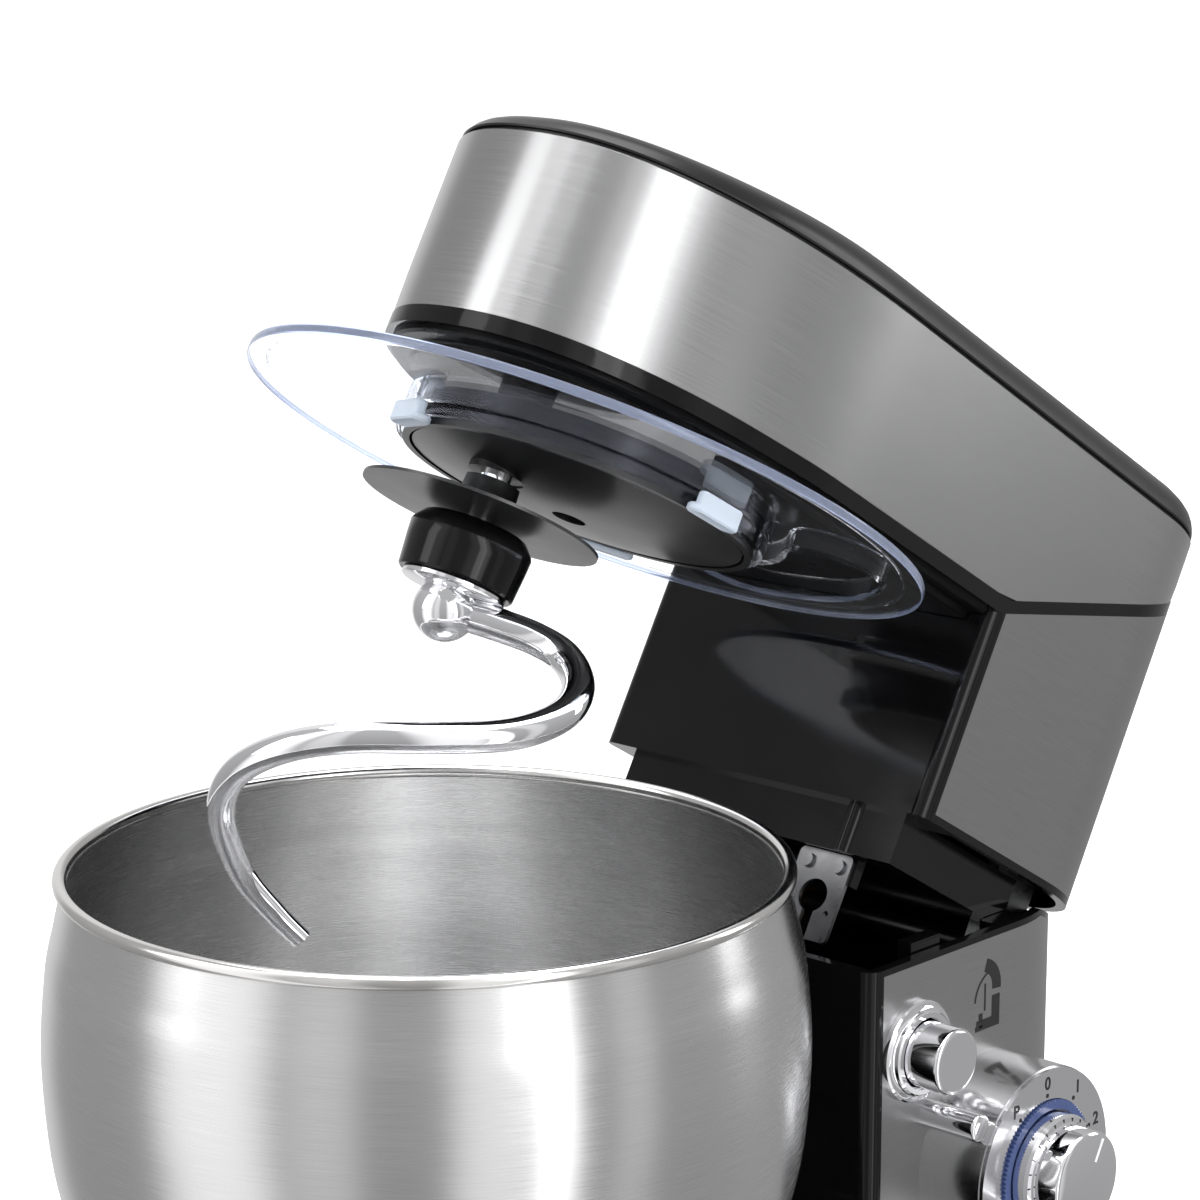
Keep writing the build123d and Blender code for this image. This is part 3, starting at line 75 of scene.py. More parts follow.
TO_METRES = Matrix.Scale(0.001, 4)
BASE = TO_METRES @ Matrix.Translation((BOWL_X, 0, 0))
TILT = Matrix.Rotation(math.radians(HEAD_REST), 4, "Y")
HINGE_AT = Vector((HINGE[0], 0, HINGE[1]))
HEAD = BASE @ Matrix.Translation(HINGE_AT) @ TILT @ Matrix.Translation(-HINGE_AT)
HOOK = HEAD @ Matrix.Translation((HOOK_X, HOOK_Y, 0))
FACING_FRONT = Matrix.Rotation(math.radians(90), 4, "X")
DIAL_AT = BASE @ Matrix.Translation((DIAL_X, PANEL_Y - BOSS_DEPTH, DIAL_Z)) @ FACING_FRONT
BUTTON_AT = BASE @ Matrix.Translation((BUTTON_X, PANEL_Y, BUTTON_Z)) @ FACING_FRONT
ICON_AT = BASE @ Matrix.Translation((DIAL_X, PANEL_Y, ICON_Z)) @ FACING_FRONT


# Materials ---------------------------------------------------------------------------

NOISE_LOW = 0.3                # nearly all noise values lie between these
NOISE_HIGH = 0.7


def material(name, color, metallic=0.0, roughness=0.5, **extra):
    """A principled material with its constant values set on the shader's own sockets."""
    mat = bpy.data.materials.new(name)
    mat.use_nodes = True
    shader = mat.node_tree.nodes["Principled BSDF"]
    shader.inputs["Base Color"].default_value = (*color, 1.0)
    shader.inputs["Metallic"].default_value = metallic
    shader.inputs["Roughness"].default_value = roughness
    for socket, value in extra.items():
        shader.inputs[socket.replace("_", " ")].default_value = value
    return mat


def node(mat, kind, **inputs):
    """Adds a node and sets its input values."""
    made = mat.node_tree.nodes.new(kind)
    for name, value in inputs.items():
        made.inputs[name.replace("_", " ")].default_value = value
    return made


def link(mat, out_socket, in_socket):
    mat.node_tree.links.new(out_socket, in_socket)


def noise(mat, scale, detail=3.0, stretch=(1, 1, 1), turn=0.0, coords="Object"):
    """Noise in the piece's own coordinates, squeezed by stretch and turned about Y."""
    place = node(mat, "ShaderNodeTexCoord")
    turned = node(mat, "ShaderNodeMapping", Rotation=(0, turn, 0))
    squeezed = node(mat, "ShaderNodeMapping", Scale=stretch)
    grain = node(mat, "ShaderNodeTexNoise", Scale=scale, Detail=detail)
    link(mat, place.outputs[coords], turned.inputs["Vector"])
    link(mat, turned.outputs["Vector"], squeezed.inputs["Vector"])
    link(mat, squeezed.outputs["Vector"], grain.inputs["Vector"])
    return grain.outputs["Fac"]


def vary(mat, factor, socket, low, high):
    """Drives a number socket between low and high by a noise factor."""
    span = node(mat, "ShaderNodeMapRange")
    span.inputs["From Min"].default_value = NOISE_LOW
    span.inputs["From Max"].default_value = NOISE_HIGH
    span.inputs["To Min"].default_value = low
    span.inputs["To Max"].default_value = high
    link(mat, factor, span.inputs["Value"])
    link(mat, span.outputs["Result"], mat.node_tree.nodes["Principled BSDF"].inputs[socket])


def tint(mat, factor, dark, light, from_low=NOISE_LOW, from_high=NOISE_HIGH):
    """Drives the base colour between two colours by a noise factor."""
    ramp = node(mat, "ShaderNodeValToRGB")
    ramp.color_ramp.elements[0].position = from_low
    ramp.color_ramp.elements[0].color = (*dark, 1)
    ramp.color_ramp.elements[1].position = from_high
    ramp.color_ramp.elements[1].color = (*light, 1)
    link(mat, factor, ramp.inputs["Fac"])
    link(mat, ramp.outputs["Color"], mat.node_tree.nodes["Principled BSDF"].inputs["Base Color"])


def bump(mat, factor, strength, distance):
    """Small relief from a factor."""
    relief = node(mat, "ShaderNodeBump", Strength=strength, Distance=distance)
    link(mat, factor, relief.inputs["Height"])
    link(mat, relief.outputs["Normal"], mat.node_tree.nodes["Principled BSDF"].inputs["Normal"])


def along_uv(mat):
    """Turns the anisotropic highlight along the mesh's U direction."""
    tangent = node(mat, "ShaderNodeTangent")
    tangent.direction_type = "UV_MAP"
    link(mat, tangent.outputs["Tangent"], mat.node_tree.nodes["Principled BSDF"].inputs["Tangent"])


def brushed(name, dark, light, rough, stretch, aniso, turn=0.0, by_uv=False):
    """Brushed steel: fine streaks in colour and roughness, along the mesh's U direction if by_uv."""
    mat = material(name, light, metallic=1.0, roughness=rough, Anisotropic=aniso)
    fine = noise(mat, 1.0, 2.0, stretch, turn, "UV" if by_uv else "Object")
    tint(mat, fine, dark, light, 0.25, 0.75)
    vary(mat, fine, "Roughness", rough - 0.015, rough + 0.02)
    if by_uv:
        along_uv(mat)
        mat.node_tree.nodes["Principled BSDF"].inputs["Anisotropic Rotation"].default_value = 0.25
    return mat


def moulded(name, color, rough, spread=0.04, grain=900.0, relief=0.05, **extra):
    """Moulded plastic: slight unevenness in gloss and colour and a fine grain."""
    mat = material(name, color, roughness=rough, **extra)
    broad = noise(mat, 30.0, 3.0)
    vary(mat, broad, "Roughness", max(rough - spread, 0.02), rough + spread)
    tint(mat, broad, tuple(c * 0.85 for c in color), tuple(min(c * 1.15, 1.0) for c in color))
    bump(mat, noise(mat, grain, 2.0), relief, 0.00005)
    return mat


def bare_metal(name, color, rough):
    """Plain metal; its gloss is varied below."""
    return material(name, color, 1.0, rough)


def see_through(name, color, rough, share, ior):
    """Clear or frosted plastic."""
    return material(name, color, 0.0, rough, Transmission_Weight=share, IOR=ior)


def grey(level):
    """Steel grey, a trace blue."""
    return (level, level, level + 0.005)


TURN_BACK = -math.radians(HEAD_REST)
BLACK = (0.004, 0.004, 0.0045)
SOFT_BLACK = (0.006, 0.006, 0.0065)
CLEAR_BLUE = (0.95, 0.965, 1.0)
M = {
    # The leg's and the column's steel greys are set dark, a painted reflection of the dark room round the
    # mixer. The head band is a lighter copy of the same steel, a painted highlight that brightens the nose.
    "band": brushed("band_steel", grey(0.41), grey(0.48), 0.25, (35, 7000, 1), 0.8, by_uv=True),
    "side": brushed("side_steel", grey(0.33), grey(0.39), 0.34, (60, 60, 6500), 0.3, TURN_BACK),
    "column": brushed("column_steel", grey(0.36), grey(0.43), 0.32, (60, 60, 6500), 0.3),
    "boss": brushed("boss_steel", grey(0.60), grey(0.68), 0.15, (60, 6500, 60), 0.3),
    "bowl": brushed("bowl_steel", (0.60, 0.60, 0.60), (0.69, 0.69, 0.69), 0.26, (40, 4200, 1), 0.75,
                    by_uv=True),
    "housing": brushed("housing_steel", (0.022, 0.022, 0.023), (0.04, 0.04, 0.042), 0.22, (40, 40, 4000),
                       0.2, TURN_BACK),
    "bowl_rim": bare_metal("rim_steel", (0.72, 0.71, 0.7), 0.14),
    "chrome": bare_metal("chrome", (0.86, 0.86, 0.88), 0.05),
    "dial_chrome": bare_metal("dial_chrome", (0.78, 0.78, 0.80), 0.14),
    "zinc": bare_metal("zinc_steel", (0.55, 0.55, 0.57), 0.3),
    "sheet": bare_metal("sheet_steel", (0.30, 0.30, 0.31), 0.32),
    "cast": bare_metal("cast_aluminium", (0.30, 0.305, 0.31), 0.46),
    "bronze": bare_metal("bearing_bronze", (0.52, 0.34, 0.16), 0.4),
    "copper": bare_metal("motor_copper", (0.50, 0.22, 0.10), 0.4),
    "clear": see_through("clear_plastic", CLEAR_BLUE, 0.02, 1.0, 1.08),
    "clear_wall": see_through("clear_wall", (0.93, 0.95, 1.0), 0.02, 1.0, 1.07),
    "clear_edge": see_through("clear_edge", (0.66, 0.74, 0.95), 0.12, 0.85, 1.4),
    "frosted": see_through("frosted_plastic", (0.74, 0.81, 0.90), 0.42, 0.45, 1.35),
    "ring": see_through("light_ring", (0.08, 0.12, 0.30), 0.12, 0.3, 1.49),
    "gloss": moulded("black_gloss", BLACK, 0.09, 0.03, 400, 0.01, Specular_IOR_Level=0.25),
    "underside": moulded("underside_black", BLACK, 0.3, 0.03, 400, 0.01, Specular_IOR_Level=0.08),
    "satin": moulded("black_satin", SOFT_BLACK, 0.34, Specular_IOR_Level=0.4),
    "cap": moulded("cap_satin", SOFT_BLACK, 0.30, 0.05, 1200, 0.06, Specular_IOR_Level=0.45),
    "disc": moulded("disc_satin", (0.012, 0.012, 0.013), 0.30, Specular_IOR_Level=0.8),
    "rubber": moulded("rubber", (0.02, 0.02, 0.02), 0.75),
    "nylon": moulded("gear_nylon", (0.78, 0.76, 0.70), 0.45),
    "carbon": moulded("carbon", (0.03, 0.03, 0.032), 0.6),
    "green": moulded("circuit_green", (0.02, 0.16, 0.06), 0.4),
    "ink": moulded("ink_black", (0.01, 0.01, 0.01), 0.5),
    "white_ink": moulded("ink_white", (0.85, 0.85, 0.85), 0.5),
}

# Roughness from and to, and how fine its patches are
GLOSS_RANGES = {
    "bowl_rim": (0.10, 0.20, 90),
    "chrome": (0.03, 0.07, 60),
    "dial_chrome": (0.11, 0.18, 200),
    "clear": (0.0, 0.025, 40),
    "clear_wall": (0.0, 0.04, 60),
    "clear_edge": (0.08, 0.16, 60),
    "frosted": (0.36, 0.48, 300),
    "ring": (0.09, 0.18, 200),
    "zinc": (0.22, 0.38, 250),
    "sheet": (0.26, 0.4, 180),
    "cast": (0.36, 0.5, 500),
    "bronze": (0.32, 0.48, 300),
    "copper": (0.32, 0.48, 300),
}
for name, (low, high, size) in GLOSS_RANGES.items():
    vary(M[name], noise(M[name], size, 3.0), "Roughness", low, high)
for name in ("cast", "sheet", "zinc", "bronze", "copper"):
    base = M[name].node_tree.nodes["Principled BSDF"].inputs["Base Color"].default_value[:3]
    tint(M[name], noise(M[name], 120, 4.0), tuple(c * 0.85 for c in base), tuple(c * 1.1 for c in base))
bump(M["cast"], noise(M["cast"], 700, 4.0), 0.3, 0.0002)


# Mesh helpers ------------------------------------------------------------------------

def polar(radius, angle, centre=(0.0, 0.0)):
    """Point at a radius and an angle in radians from a centre."""
    return (centre[0] + radius * math.cos(angle), centre[1] + radius * math.sin(angle))


SHARP = math.radians(35)       # edges steeper than this stay crisp
CAD_SHARP = math.radians(25)   # the same on the carried-over CAD pieces


def make(name, verts, faces, mat, where, body, slot, replaced=(), uvs=None):
    """A mesh object from points in millimetres, placed in the frame and tied to its body."""
    mesh = bpy.data.meshes.new(name)
    mesh.from_pydata([where @ Vector(v) for v in verts], [], faces)
    mesh.materials.append(M[mat])
    if uvs is not None:
        layer = mesh.uv_layers.new(name="UVMap")
        for loop in mesh.loops:
            layer.data[loop.index].uv = uvs[loop.vertex_index]
    tidy = bmesh.new()
    tidy.from_mesh(mesh)
    bmesh.ops.remove_doubles(tidy, verts=tidy.verts, dist=1e-7)
    bmesh.ops.recalc_face_normals(tidy, faces=tidy.faces)
    for face in tidy.faces:
        face.smooth = True
    tidy.to_mesh(mesh)
    tidy.free()
    mesh.set_sharp_from_angle(angle=SHARP)
    obj = bpy.data.objects.new(name, mesh)
    bpy.context.collection.objects.link(obj)
    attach(obj, body)
    if replaced:
        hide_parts(*replaced)
    return obj


def grid_faces(rows, columns, closed_rows=False):
    """Quads between rows of points, each row a closed ring."""
    faces = []
    for row in range(rows if closed_rows else rows - 1):
        for column in range(columns):
            next_row = (row + 1) % rows
            next_column = (column + 1) % columns
            faces.append((row * columns + column, row * columns + next_column,
                          next_row * columns + next_column, next_row * columns + column))
    return faces


def lathe(profile, steps=128):
    """Points and faces of a closed profile of (radius, z) turned about Z."""
    verts = []
    for radius, height in profile:
        for step in range(steps):
            verts.append((*polar(radius, 2 * math.pi * step / steps), height))
    return verts, grid_faces(len(profile), steps, closed_rows=True)


def lathe_uvs(profile, steps=128):
    """U round the axis and V along the profile."""
    uvs = []
    run = 0.0
    last = profile[0]
    for spot in profile:
        run += math.dist(last, spot)
        last = spot
        for step in range(steps):
            uvs.append((step / steps, run / 1000))
    return uvs


def catmull(points, per_span=10):
    """Smooth curve through points."""
    points = [Vector(p) for p in points]
    padded = [2 * points[0] - points[1]] + points + [2 * points[-1] - points[-2]]
    curve = []
    for index in range(1, len(padded) - 2):
        a, b, c, d = padded[index - 1:index + 3]
        for step in range(per_span):
            t = step / per_span
            curve.append(0.5 * ((2 * b) + (c - a) * t + (2 * a - 5 * b + 4 * c - d) * t * t
                                + (3 * b - 3 * c + d - a) * t ** 3))
    curve.append(points[-1])
    return curve


def sweep(path, radii, steps=28):
    """Rod along a path with flat ends."""
    verts = []
    side = Vector((0, 0, 1)).cross(path[1] - path[0]).normalized()
    for index, spot in enumerate(path):
        ahead = (path[min(index + 1, len(path) - 1)] - path[max(index - 1, 0)]).normalized()
        side = (side - ahead * side.dot(ahead)).normalized()
        other = ahead.cross(side)
        for step in range(steps):
            angle = 2 * math.pi * step / steps
            verts.append(spot + radii[index] * (math.cos(angle) * side + math.sin(angle) * other))
    faces = grid_faces(len(path), steps)
    faces.append(tuple(range(steps)))
    faces.append(tuple(range(len(verts) - steps, len(verts))))
    return verts, faces


def join(*parts):
    """One list of points and faces from several."""
    verts = []
    faces = []
    for part_verts, part_faces in parts:
        start = len(verts)
        verts += [tuple(v) for v in part_verts]
        faces += [tuple(start + index for index in face) for face in part_faces]
    return verts, faces


def moved(part, offset):
    return [tuple(Vector(v) + Vector(offset)) for v in part[0]], part[1]


def plan_loop(inset, nose_steps=120, corner_steps=20):
    """Closed outline of the head seen from above, moved in by inset."""
    half = HALF_W - inset
    nose = NOSE_LENGTH - inset
    corner = CORNER_R - inset
    centre_x = REAR_X - CORNER_R
    side_steps = 14
    loop = []
    for step in range(nose_steps + 1):
        angle = math.pi * (0.5 - step / nose_steps)
        across = math.copysign(abs(math.sin(angle)) ** (2 / NOSE_POWER), math.sin(angle))
        along = max(math.cos(angle), 0.0) ** (2 / NOSE_POWER)
        loop.append((NOSE_START_X - nose * along, half * across))
    for step in range(1, side_steps):
        loop.append((NOSE_START_X + (centre_x - NOSE_START_X) * step / side_steps, -half))
    for side in (-1, 1):
        centre_y = side * (HALF_W - CORNER_R)
        first = -90 if side < 0 else 0
        for step in range(corner_steps + 1):
            loop.append(polar(corner, math.radians(first + 90 * step / corner_steps), (centre_x, centre_y)))
    for step in range(1, side_steps):
        loop.append((centre_x + (NOSE_START_X - centre_x) * step / side_steps, half))
    return loop


# Head: steel band and cap ------------------------------------------------------------

outer = plan_loop(0.0)
run = [0.0]
for before, after in zip(outer, outer[1:]):
    run.append(run[-1] + math.dist(before, after))
band_verts = []
band_uvs = []
# (inset, share of the band's height), outside upwards and then down the inside
BAND_ROWS = [(0.25, 0.0), (0.0, 0.25), (0.0, 0.5), (0.0, 0.75), (0.0, 1.0), (0.3, 1.0), (1.0, 1.0),
             (1.0, 0.0)]
BAND_EASE = 0.3                # the band's outer corners are eased by this much
for inset, share in BAND_ROWS:
    for index, (x, y) in enumerate(plan_loop(inset)):
        low = BAND_LOW_Z + max(x - STEEL_FRONT_X, 0) * SEAM_RISE
        height = low + (BAND_TOP_Z - low) * share
        if inset == 0 and share == 1.0:
            height -= BAND_EASE
        band_verts.append((x, y, height))
        band_uvs.append((run[index] / 1000, height / 1000))
band_faces = grid_faces(len(BAND_ROWS), len(outer), closed_rows=True)
make("head_band", band_verts, band_faces, "band", HEAD, "head", "brushed_steel", ["head_steel_band"],
     band_uvs)

# (inset, height over the band)
CAP_ROWS = [(1.8, 0.0), (1.8, 1.2), (0.7, 1.4), (0.45, 2.0), (0.95, 4.0), (1.9, 6.2), (3.3, 8.2),
            (5.3, 10.0), (8.2, 11.8), (12.0, 13.4), (17.0, 14.9), (23.0, 16.0), (30.0, 16.7), (36.0, 16.9)]
CAP_TOP = 17.0
SPINE_X = (-40.0, 215.0)       # ends of the line that the cap's crown runs in to
CAP_NOSE_X = -80.0             # ahead of this the cap has its lowest crown
CAP_NOSE_RUN = 110.0
CAP_NOSE_SHARE = 0.66


def cap_rise(x, height):
    """The cap is lower at the nose than over the rest of the head."""
    share = min(max((x - CAP_NOSE_X) / CAP_NOSE_RUN, 0.0), 1.0)
    share = share * share * (3 - 2 * share)
    return height * (CAP_NOSE_SHARE + (1 - CAP_NOSE_SHARE) * share) if height > 2.0 else height


cap_verts = []
for inset, height in CAP_ROWS:
    for x, y in plan_loop(inset):
        cap_verts.append((x, y, BAND_TOP_Z + cap_rise(x, height)))
last_loop = plan_loop(CAP_ROWS[-1][0])
for share in (0.5, 1.0):
    for x, y in last_loop:
        crown_x = x + (min(max(x, SPINE_X[0]), SPINE_X[1]) - x) * share
        cap_verts.append((crown_x, y * (1 - share), BAND_TOP_Z + cap_rise(crown_x, CAP_TOP)))
cap_faces = grid_faces(len(CAP_ROWS) + 2, len(outer))
cap_faces.append(tuple(range(len(outer))))
make("head_cap", cap_verts, cap_faces, "cap", HEAD, "head", "black_satin", ["top_cap"])

# (inset, height over the bowl's rim)
STEP_ROWS = [(2.5, 22.5), (2.5, 20.6), (3.4, 19.8), (9.0, 19.4), (9.6, 18.8), (9.8, 17.4), (10.8, 16.8),
             (24.0, 16.6)]
STEP_REAR_X = 128.0
step_verts = []
for inset, height in STEP_ROWS:
    step_verts += [(min(x, STEP_REAR_X), y, RIM_Z + height) for x, y in plan_loop(inset)]
step_faces = grid_faces(len(STEP_ROWS), len(outer))
step_faces.append(tuple(range(len(step_verts) - len(outer), len(step_verts))))
make("arm_underside", step_verts, step_faces, "underside", HEAD, "head", "black_gloss")

# Bowl --------------------------------------------------------------------------------

BOWL_T = 1.2
BOWL_FLOOR_Z = 56.0
BOWL_FLAT_R = 46.0
BEAD_R = 2.1
AXIS_R = 0.01                  # where a turned profile closes on its axis
BOWL_OUTSIDE = [(109.3, 220.6), (112.4, 207.0), (115.4, 192.0), (117.0, 162.0), (112.5, 124.0),
                (98.0, 91.0), (74.0, 67.0), (BOWL_FLAT_R, BOWL_FLOOR_Z)]
outside = [(p.x, p.y) for p in catmull([(r, z, 0) for r, z in BOWL_OUTSIDE], 8)]
inside = []
for index, (radius, height) in enumerate(outside):
    before = outside[max(index - 1, 0)]
    after = outside[min(index + 1, len(outside) - 1)]
    slope = Vector((after[0] - before[0], after[1] - before[1])).normalized()
    inside.append((radius + slope.y * BOWL_T, height - slope.x * BOWL_T))
inside[-1] = (BOWL_FLAT_R, BOWL_FLOOR_Z + BOWL_T)
floor_line = [(30.0, BOWL_FLOOR_Z + BOWL_T), (AXIS_R, BOWL_FLOOR_Z + BOWL_T)]
bowl_profile = [(AXIS_R, BOWL_FLOOR_Z)] + outside[::-1] + inside + floor_line
ROUND = 192                    # steps round the large rings
make("mixing_bowl", *lathe(bowl_profile, ROUND), "bowl", BASE, "bowl", "bowl_steel", ["bowl"],
     lathe_uvs(bowl_profile, ROUND))
bead = [polar(BEAD_R, step * math.pi / 10, (RIM_R, RIM_Z)) for step in range(20)]
make("bowl_bead", *lathe(bead, ROUND), "bowl_rim", BASE, "bowl", "bowl_steel")

# Dough hook --------------------------------------------------------------------------

ACROSS = math.radians(-51.3)
NEAR = math.radians(-141.3)
BALL_Z = RIM_Z - 51.0
BALL_R = 10.0
COLLAR_TOP = RIM_Z - 24.0
COLLAR_LOW = RIM_Z - 43.0
ROD_R = 5.3
ROD_THINNING = 0.8             # how much thinner the rod is where its point starts
POINT_THINNING = 1.2           # and from there to the tip
POINT_START = 0.75
BORE_R = 5.1                   # pieces on the hook's shaft
HOOK_PATH = [(4, 0, 0.5), (14, 0, 1), (29, 0.5, 0.8), (40, 5, -2.5), (47, 15, -11), (46, 26, -22),
             (35, 36, -33.5), (15, 42, -43), (-9, 43, -52), (-27, 36, -61), (-38.5, 22, -71), (-40, 6, -82),
             (-30.5, -9, -94.5), (-18, -16, -102), (-7, -20, -107)]


def hook_point(across, near, rise):
    """Point from its distance across, distance toward the front and height from the ball."""
    return Vector((across * math.cos(ACROSS) + near * math.cos(NEAR),
                   across * math.sin(ACROSS) + near * math.sin(NEAR), BALL_Z + rise))


rod = catmull([hook_point(*spot) for spot in HOOK_PATH], 12)
rod_radii = []
for index in range(len(rod)):
    share = index / (len(rod) - 1)
    past = max(share - POINT_START, 0) / (1 - POINT_START)
    rod_radii.append(ROD_R - ROD_THINNING * min(share / POINT_START, 1.0) - POINT_THINNING * past)
ball = [(AXIS_R, BALL_Z - BALL_R)]
for step in range(1, 28):
    angle = math.pi * (step / 30) - math.pi / 2
    spot = polar(BALL_R, angle, (0, BALL_Z))
    if spot[1] < COLLAR_LOW - 2.2:
        ball.append(spot)
ball += [(9.2, COLLAR_LOW - 3.0), (16.0, COLLAR_LOW - 1.9), (16.5, COLLAR_LOW - 1.5),
         (16.5, COLLAR_LOW - 0.4), (16.1, COLLAR_LOW), (AXIS_R, COLLAR_LOW)]
pin = sweep([hook_point(0, near, 2.5) for near in (6.0, 9.4, 9.9)], [2.7, 2.7, 2.1], 24)
make("hook_rod", *join(sweep(rod, rod_radii), lathe(ball, 64), pin), "chrome", HOOK, "hook", "chrome",
     ["dough_hook"])

HUB_LOW = RIM_Z - 18.0
HUB_TOP = RIM_Z - 9.4
hub = [(BORE_R, HUB_LOW), (10.4, HUB_LOW), (9.0, HUB_LOW + 3.0), (8.6, HUB_TOP), (BORE_R, HUB_TOP)]
make("hook_hub", *lathe(hub, 64), "satin", HOOK, "hook", "black_satin")
collar_profile = [(5.2, COLLAR_TOP), (15.6, COLLAR_TOP), (16.6, COLLAR_TOP - 0.5),
                  (19.0, COLLAR_TOP - 3.4), (19.5, COLLAR_TOP - 4.4), (19.2, COLLAR_TOP - 9.0),
                  (18.4, COLLAR_LOW + 0.8), (17.8, COLLAR_LOW + 0.1), (5.2, COLLAR_LOW + 0.1)]
make("collar_body", *lathe(collar_profile, 96), "gloss", HOOK, "hook", "black_satin", ["hook_collar"])

# Splash guard ------------------------------------------------------------------------

GUARD_R = 110.6
GUARD_Z = RIM_Z + 5.2
PORT_R = 82.0
PORT_ENDS = (math.radians(-52), math.radians(-2))
PORT_HALF = 15.0
NECK_IN_R = 58.4
NECK_OUT_R = 60.2


def port_loop(half, count=40):
    """Outline of the port: outer arc, round end, inner arc, round end."""
    start, end = PORT_ENDS
    outward = [start + (end - start) * step / count for step in range(count + 1)]
    loop = [polar(PORT_R + half, angle) for angle in outward]
    loop += [polar(half, end + math.pi * step / 16, polar(PORT_R, end)) for step in range(1, 16)]
    loop += [polar(PORT_R - half, angle) for angle in outward[::-1]]
    loop += [polar(half, start + math.pi * (1 + step / 16), polar(PORT_R, start)) for step in range(1, 16)]
    return loop


def flat_ring_with_port():
    """The guard's flat sheet as a filled outline with two holes, both faces and edges."""
    sheet = bmesh.new()
    circle = [polar(GUARD_R, step * 2 * math.pi / ROUND) for step in range(ROUND)]
    collar = [polar(59.4, step * math.pi / 64) for step in range(128)]
    edges = []
    for loop in (circle, collar, port_loop(PORT_HALF)):
        spots = [sheet.verts.new((x, y, GUARD_Z - 1)) for x, y in loop]
        edges += [sheet.edges.new((a, b)) for a, b in zip(spots, spots[1:] + spots[:1])]
    bmesh.ops.triangle_fill(sheet, edges=edges, use_beauty=True)
    raised = bmesh.ops.extrude_face_region(sheet, geom=list(sheet.faces))
    tops = [item for item in raised["geom"] if isinstance(item, bmesh.types.BMVert)]
    bmesh.ops.translate(sheet, verts=tops, vec=(0, 0, 2.0))
    sheet.verts.index_update()
    verts = [tuple(v.co) for v in sheet.verts]
    faces = [tuple(v.index for v in face.verts) for face in sheet.faces]
    sheet.free()
    return verts, faces


make("guard_sheet", *flat_ring_with_port(), "clear", HEAD, "head", "clear_plastic", ["splash_guard"])
guard_rim = [(GUARD_R - 0.2, GUARD_Z - 1.4), (GUARD_R, GUARD_Z - 1.4), (GUARD_R + 0.2, GUARD_Z - 0.9),
             (GUARD_R + 0.2, GUARD_Z + 0.9), (GUARD_R, GUARD_Z + 1.4), (GUARD_R - 0.2, GUARD_Z + 1.4)]
make("guard_rim", *lathe(guard_rim, ROUND), "clear_edge", HEAD, "head", "clear_plastic")
guard_step = [(104.0, GUARD_Z + 1.0), (104.9, GUARD_Z + 1.0), (104.7, GUARD_Z + 1.5), (104.2, GUARD_Z + 1.5)]
make("guard_step", *lathe(guard_step, ROUND), "clear", HEAD, "head", "clear_plastic")
collar_ring = [(NECK_IN_R, RIM_Z), (NECK_OUT_R, RIM_Z), (60.6, GUARD_Z - 1.1), (NECK_OUT_R, GUARD_Z + 1.2),
               (NECK_OUT_R, RIM_Z + 14), (NECK_IN_R, RIM_Z + 14)]
RIB_LOW_Z = RIM_Z + 7
RIB_TOP_Z = RIM_Z + 13.6
RIB_SPAN = (60.0, 61.4)
RIB_HALF = 1.2
rib_plan = [(RIB_SPAN[0], -RIB_HALF), (RIB_SPAN[1], -RIB_HALF), (RIB_SPAN[1], RIB_HALF),
            (RIB_SPAN[0], RIB_HALF)]
ribs = []
for rib in range(12):
    turned = Matrix.Rotation(math.radians(30.0 * rib + 8), 4, "Z")
    box = [turned @ Vector((x, y, z)) for z in (RIB_LOW_Z, RIB_TOP_Z) for x, y in rib_plan]
    ribs.append((box, [(0, 1, 2, 3), (7, 6, 5, 4), (0, 4, 5, 1), (1, 5, 6, 2), (2, 6, 7, 3), (3, 7, 4, 0)]))
make("guard_collar", *join(lathe(collar_ring, 128), *ribs), "clear_wall", HEAD, "head", "clear_plastic")
# (half width, height over the sheet's middle)
LIP_ROWS = [(PORT_HALF, 1.0), (PORT_HALF, 7.0), (PORT_HALF + 1.0, 7.6), (PORT_HALF + 1.8, 7.0),
            (PORT_HALF + 1.8, 1.0)]
lip_verts = []
for half, height in LIP_ROWS:
    lip_verts += [(x, y, GUARD_Z + height) for x, y in port_loop(half)]
lip_faces = grid_faces(len(LIP_ROWS), len(port_loop(PORT_HALF)), closed_rows=True)
make("port_lip", lip_verts, lip_faces, "clear", HEAD, "head", "clear_plastic")

CLIP_LOW_Z = RIM_Z - 3.0
CLIP_ANGLES = (158.0, -96.0, 30.0)
# Tab and foot of a clip: middle, size in plan, corner radius and height
CLIP_BLOCKS = [((62.4, 0), (3.9, 17.6), 1.4, 6.6), ((60.9, 0), (6.8, 20.0), 3.2, 2.6)]


def rounded_block(middle, size, corner, low, high, bevel=0.6, steps=8):
    """Upright block with round corners in plan and bevelled ends, about a middle (x, y)."""
    verts = []
    for inset, height in ((bevel, low), (0.0, low + bevel), (0.0, high - bevel), (bevel, high)):
        for quarter in range(4):
            side_x = 1 if quarter in (0, 3) else -1
            side_y = 1 if quarter in (0, 1) else -1
            centre = (middle[0] + side_x * (size[0] / 2 - corner),
                      middle[1] + side_y * (size[1] / 2 - corner))
            for step in range(steps + 1):
                angle = math.radians(90 * quarter + 90 * step / steps)
                verts.append((*polar(corner - inset, angle, centre), height))
    around = len(verts) // 4
    faces = grid_faces(4, around)
    faces.append(tuple(range(around)))
    faces.append(tuple(range(3 * around, 4 * around)))
    return verts, faces


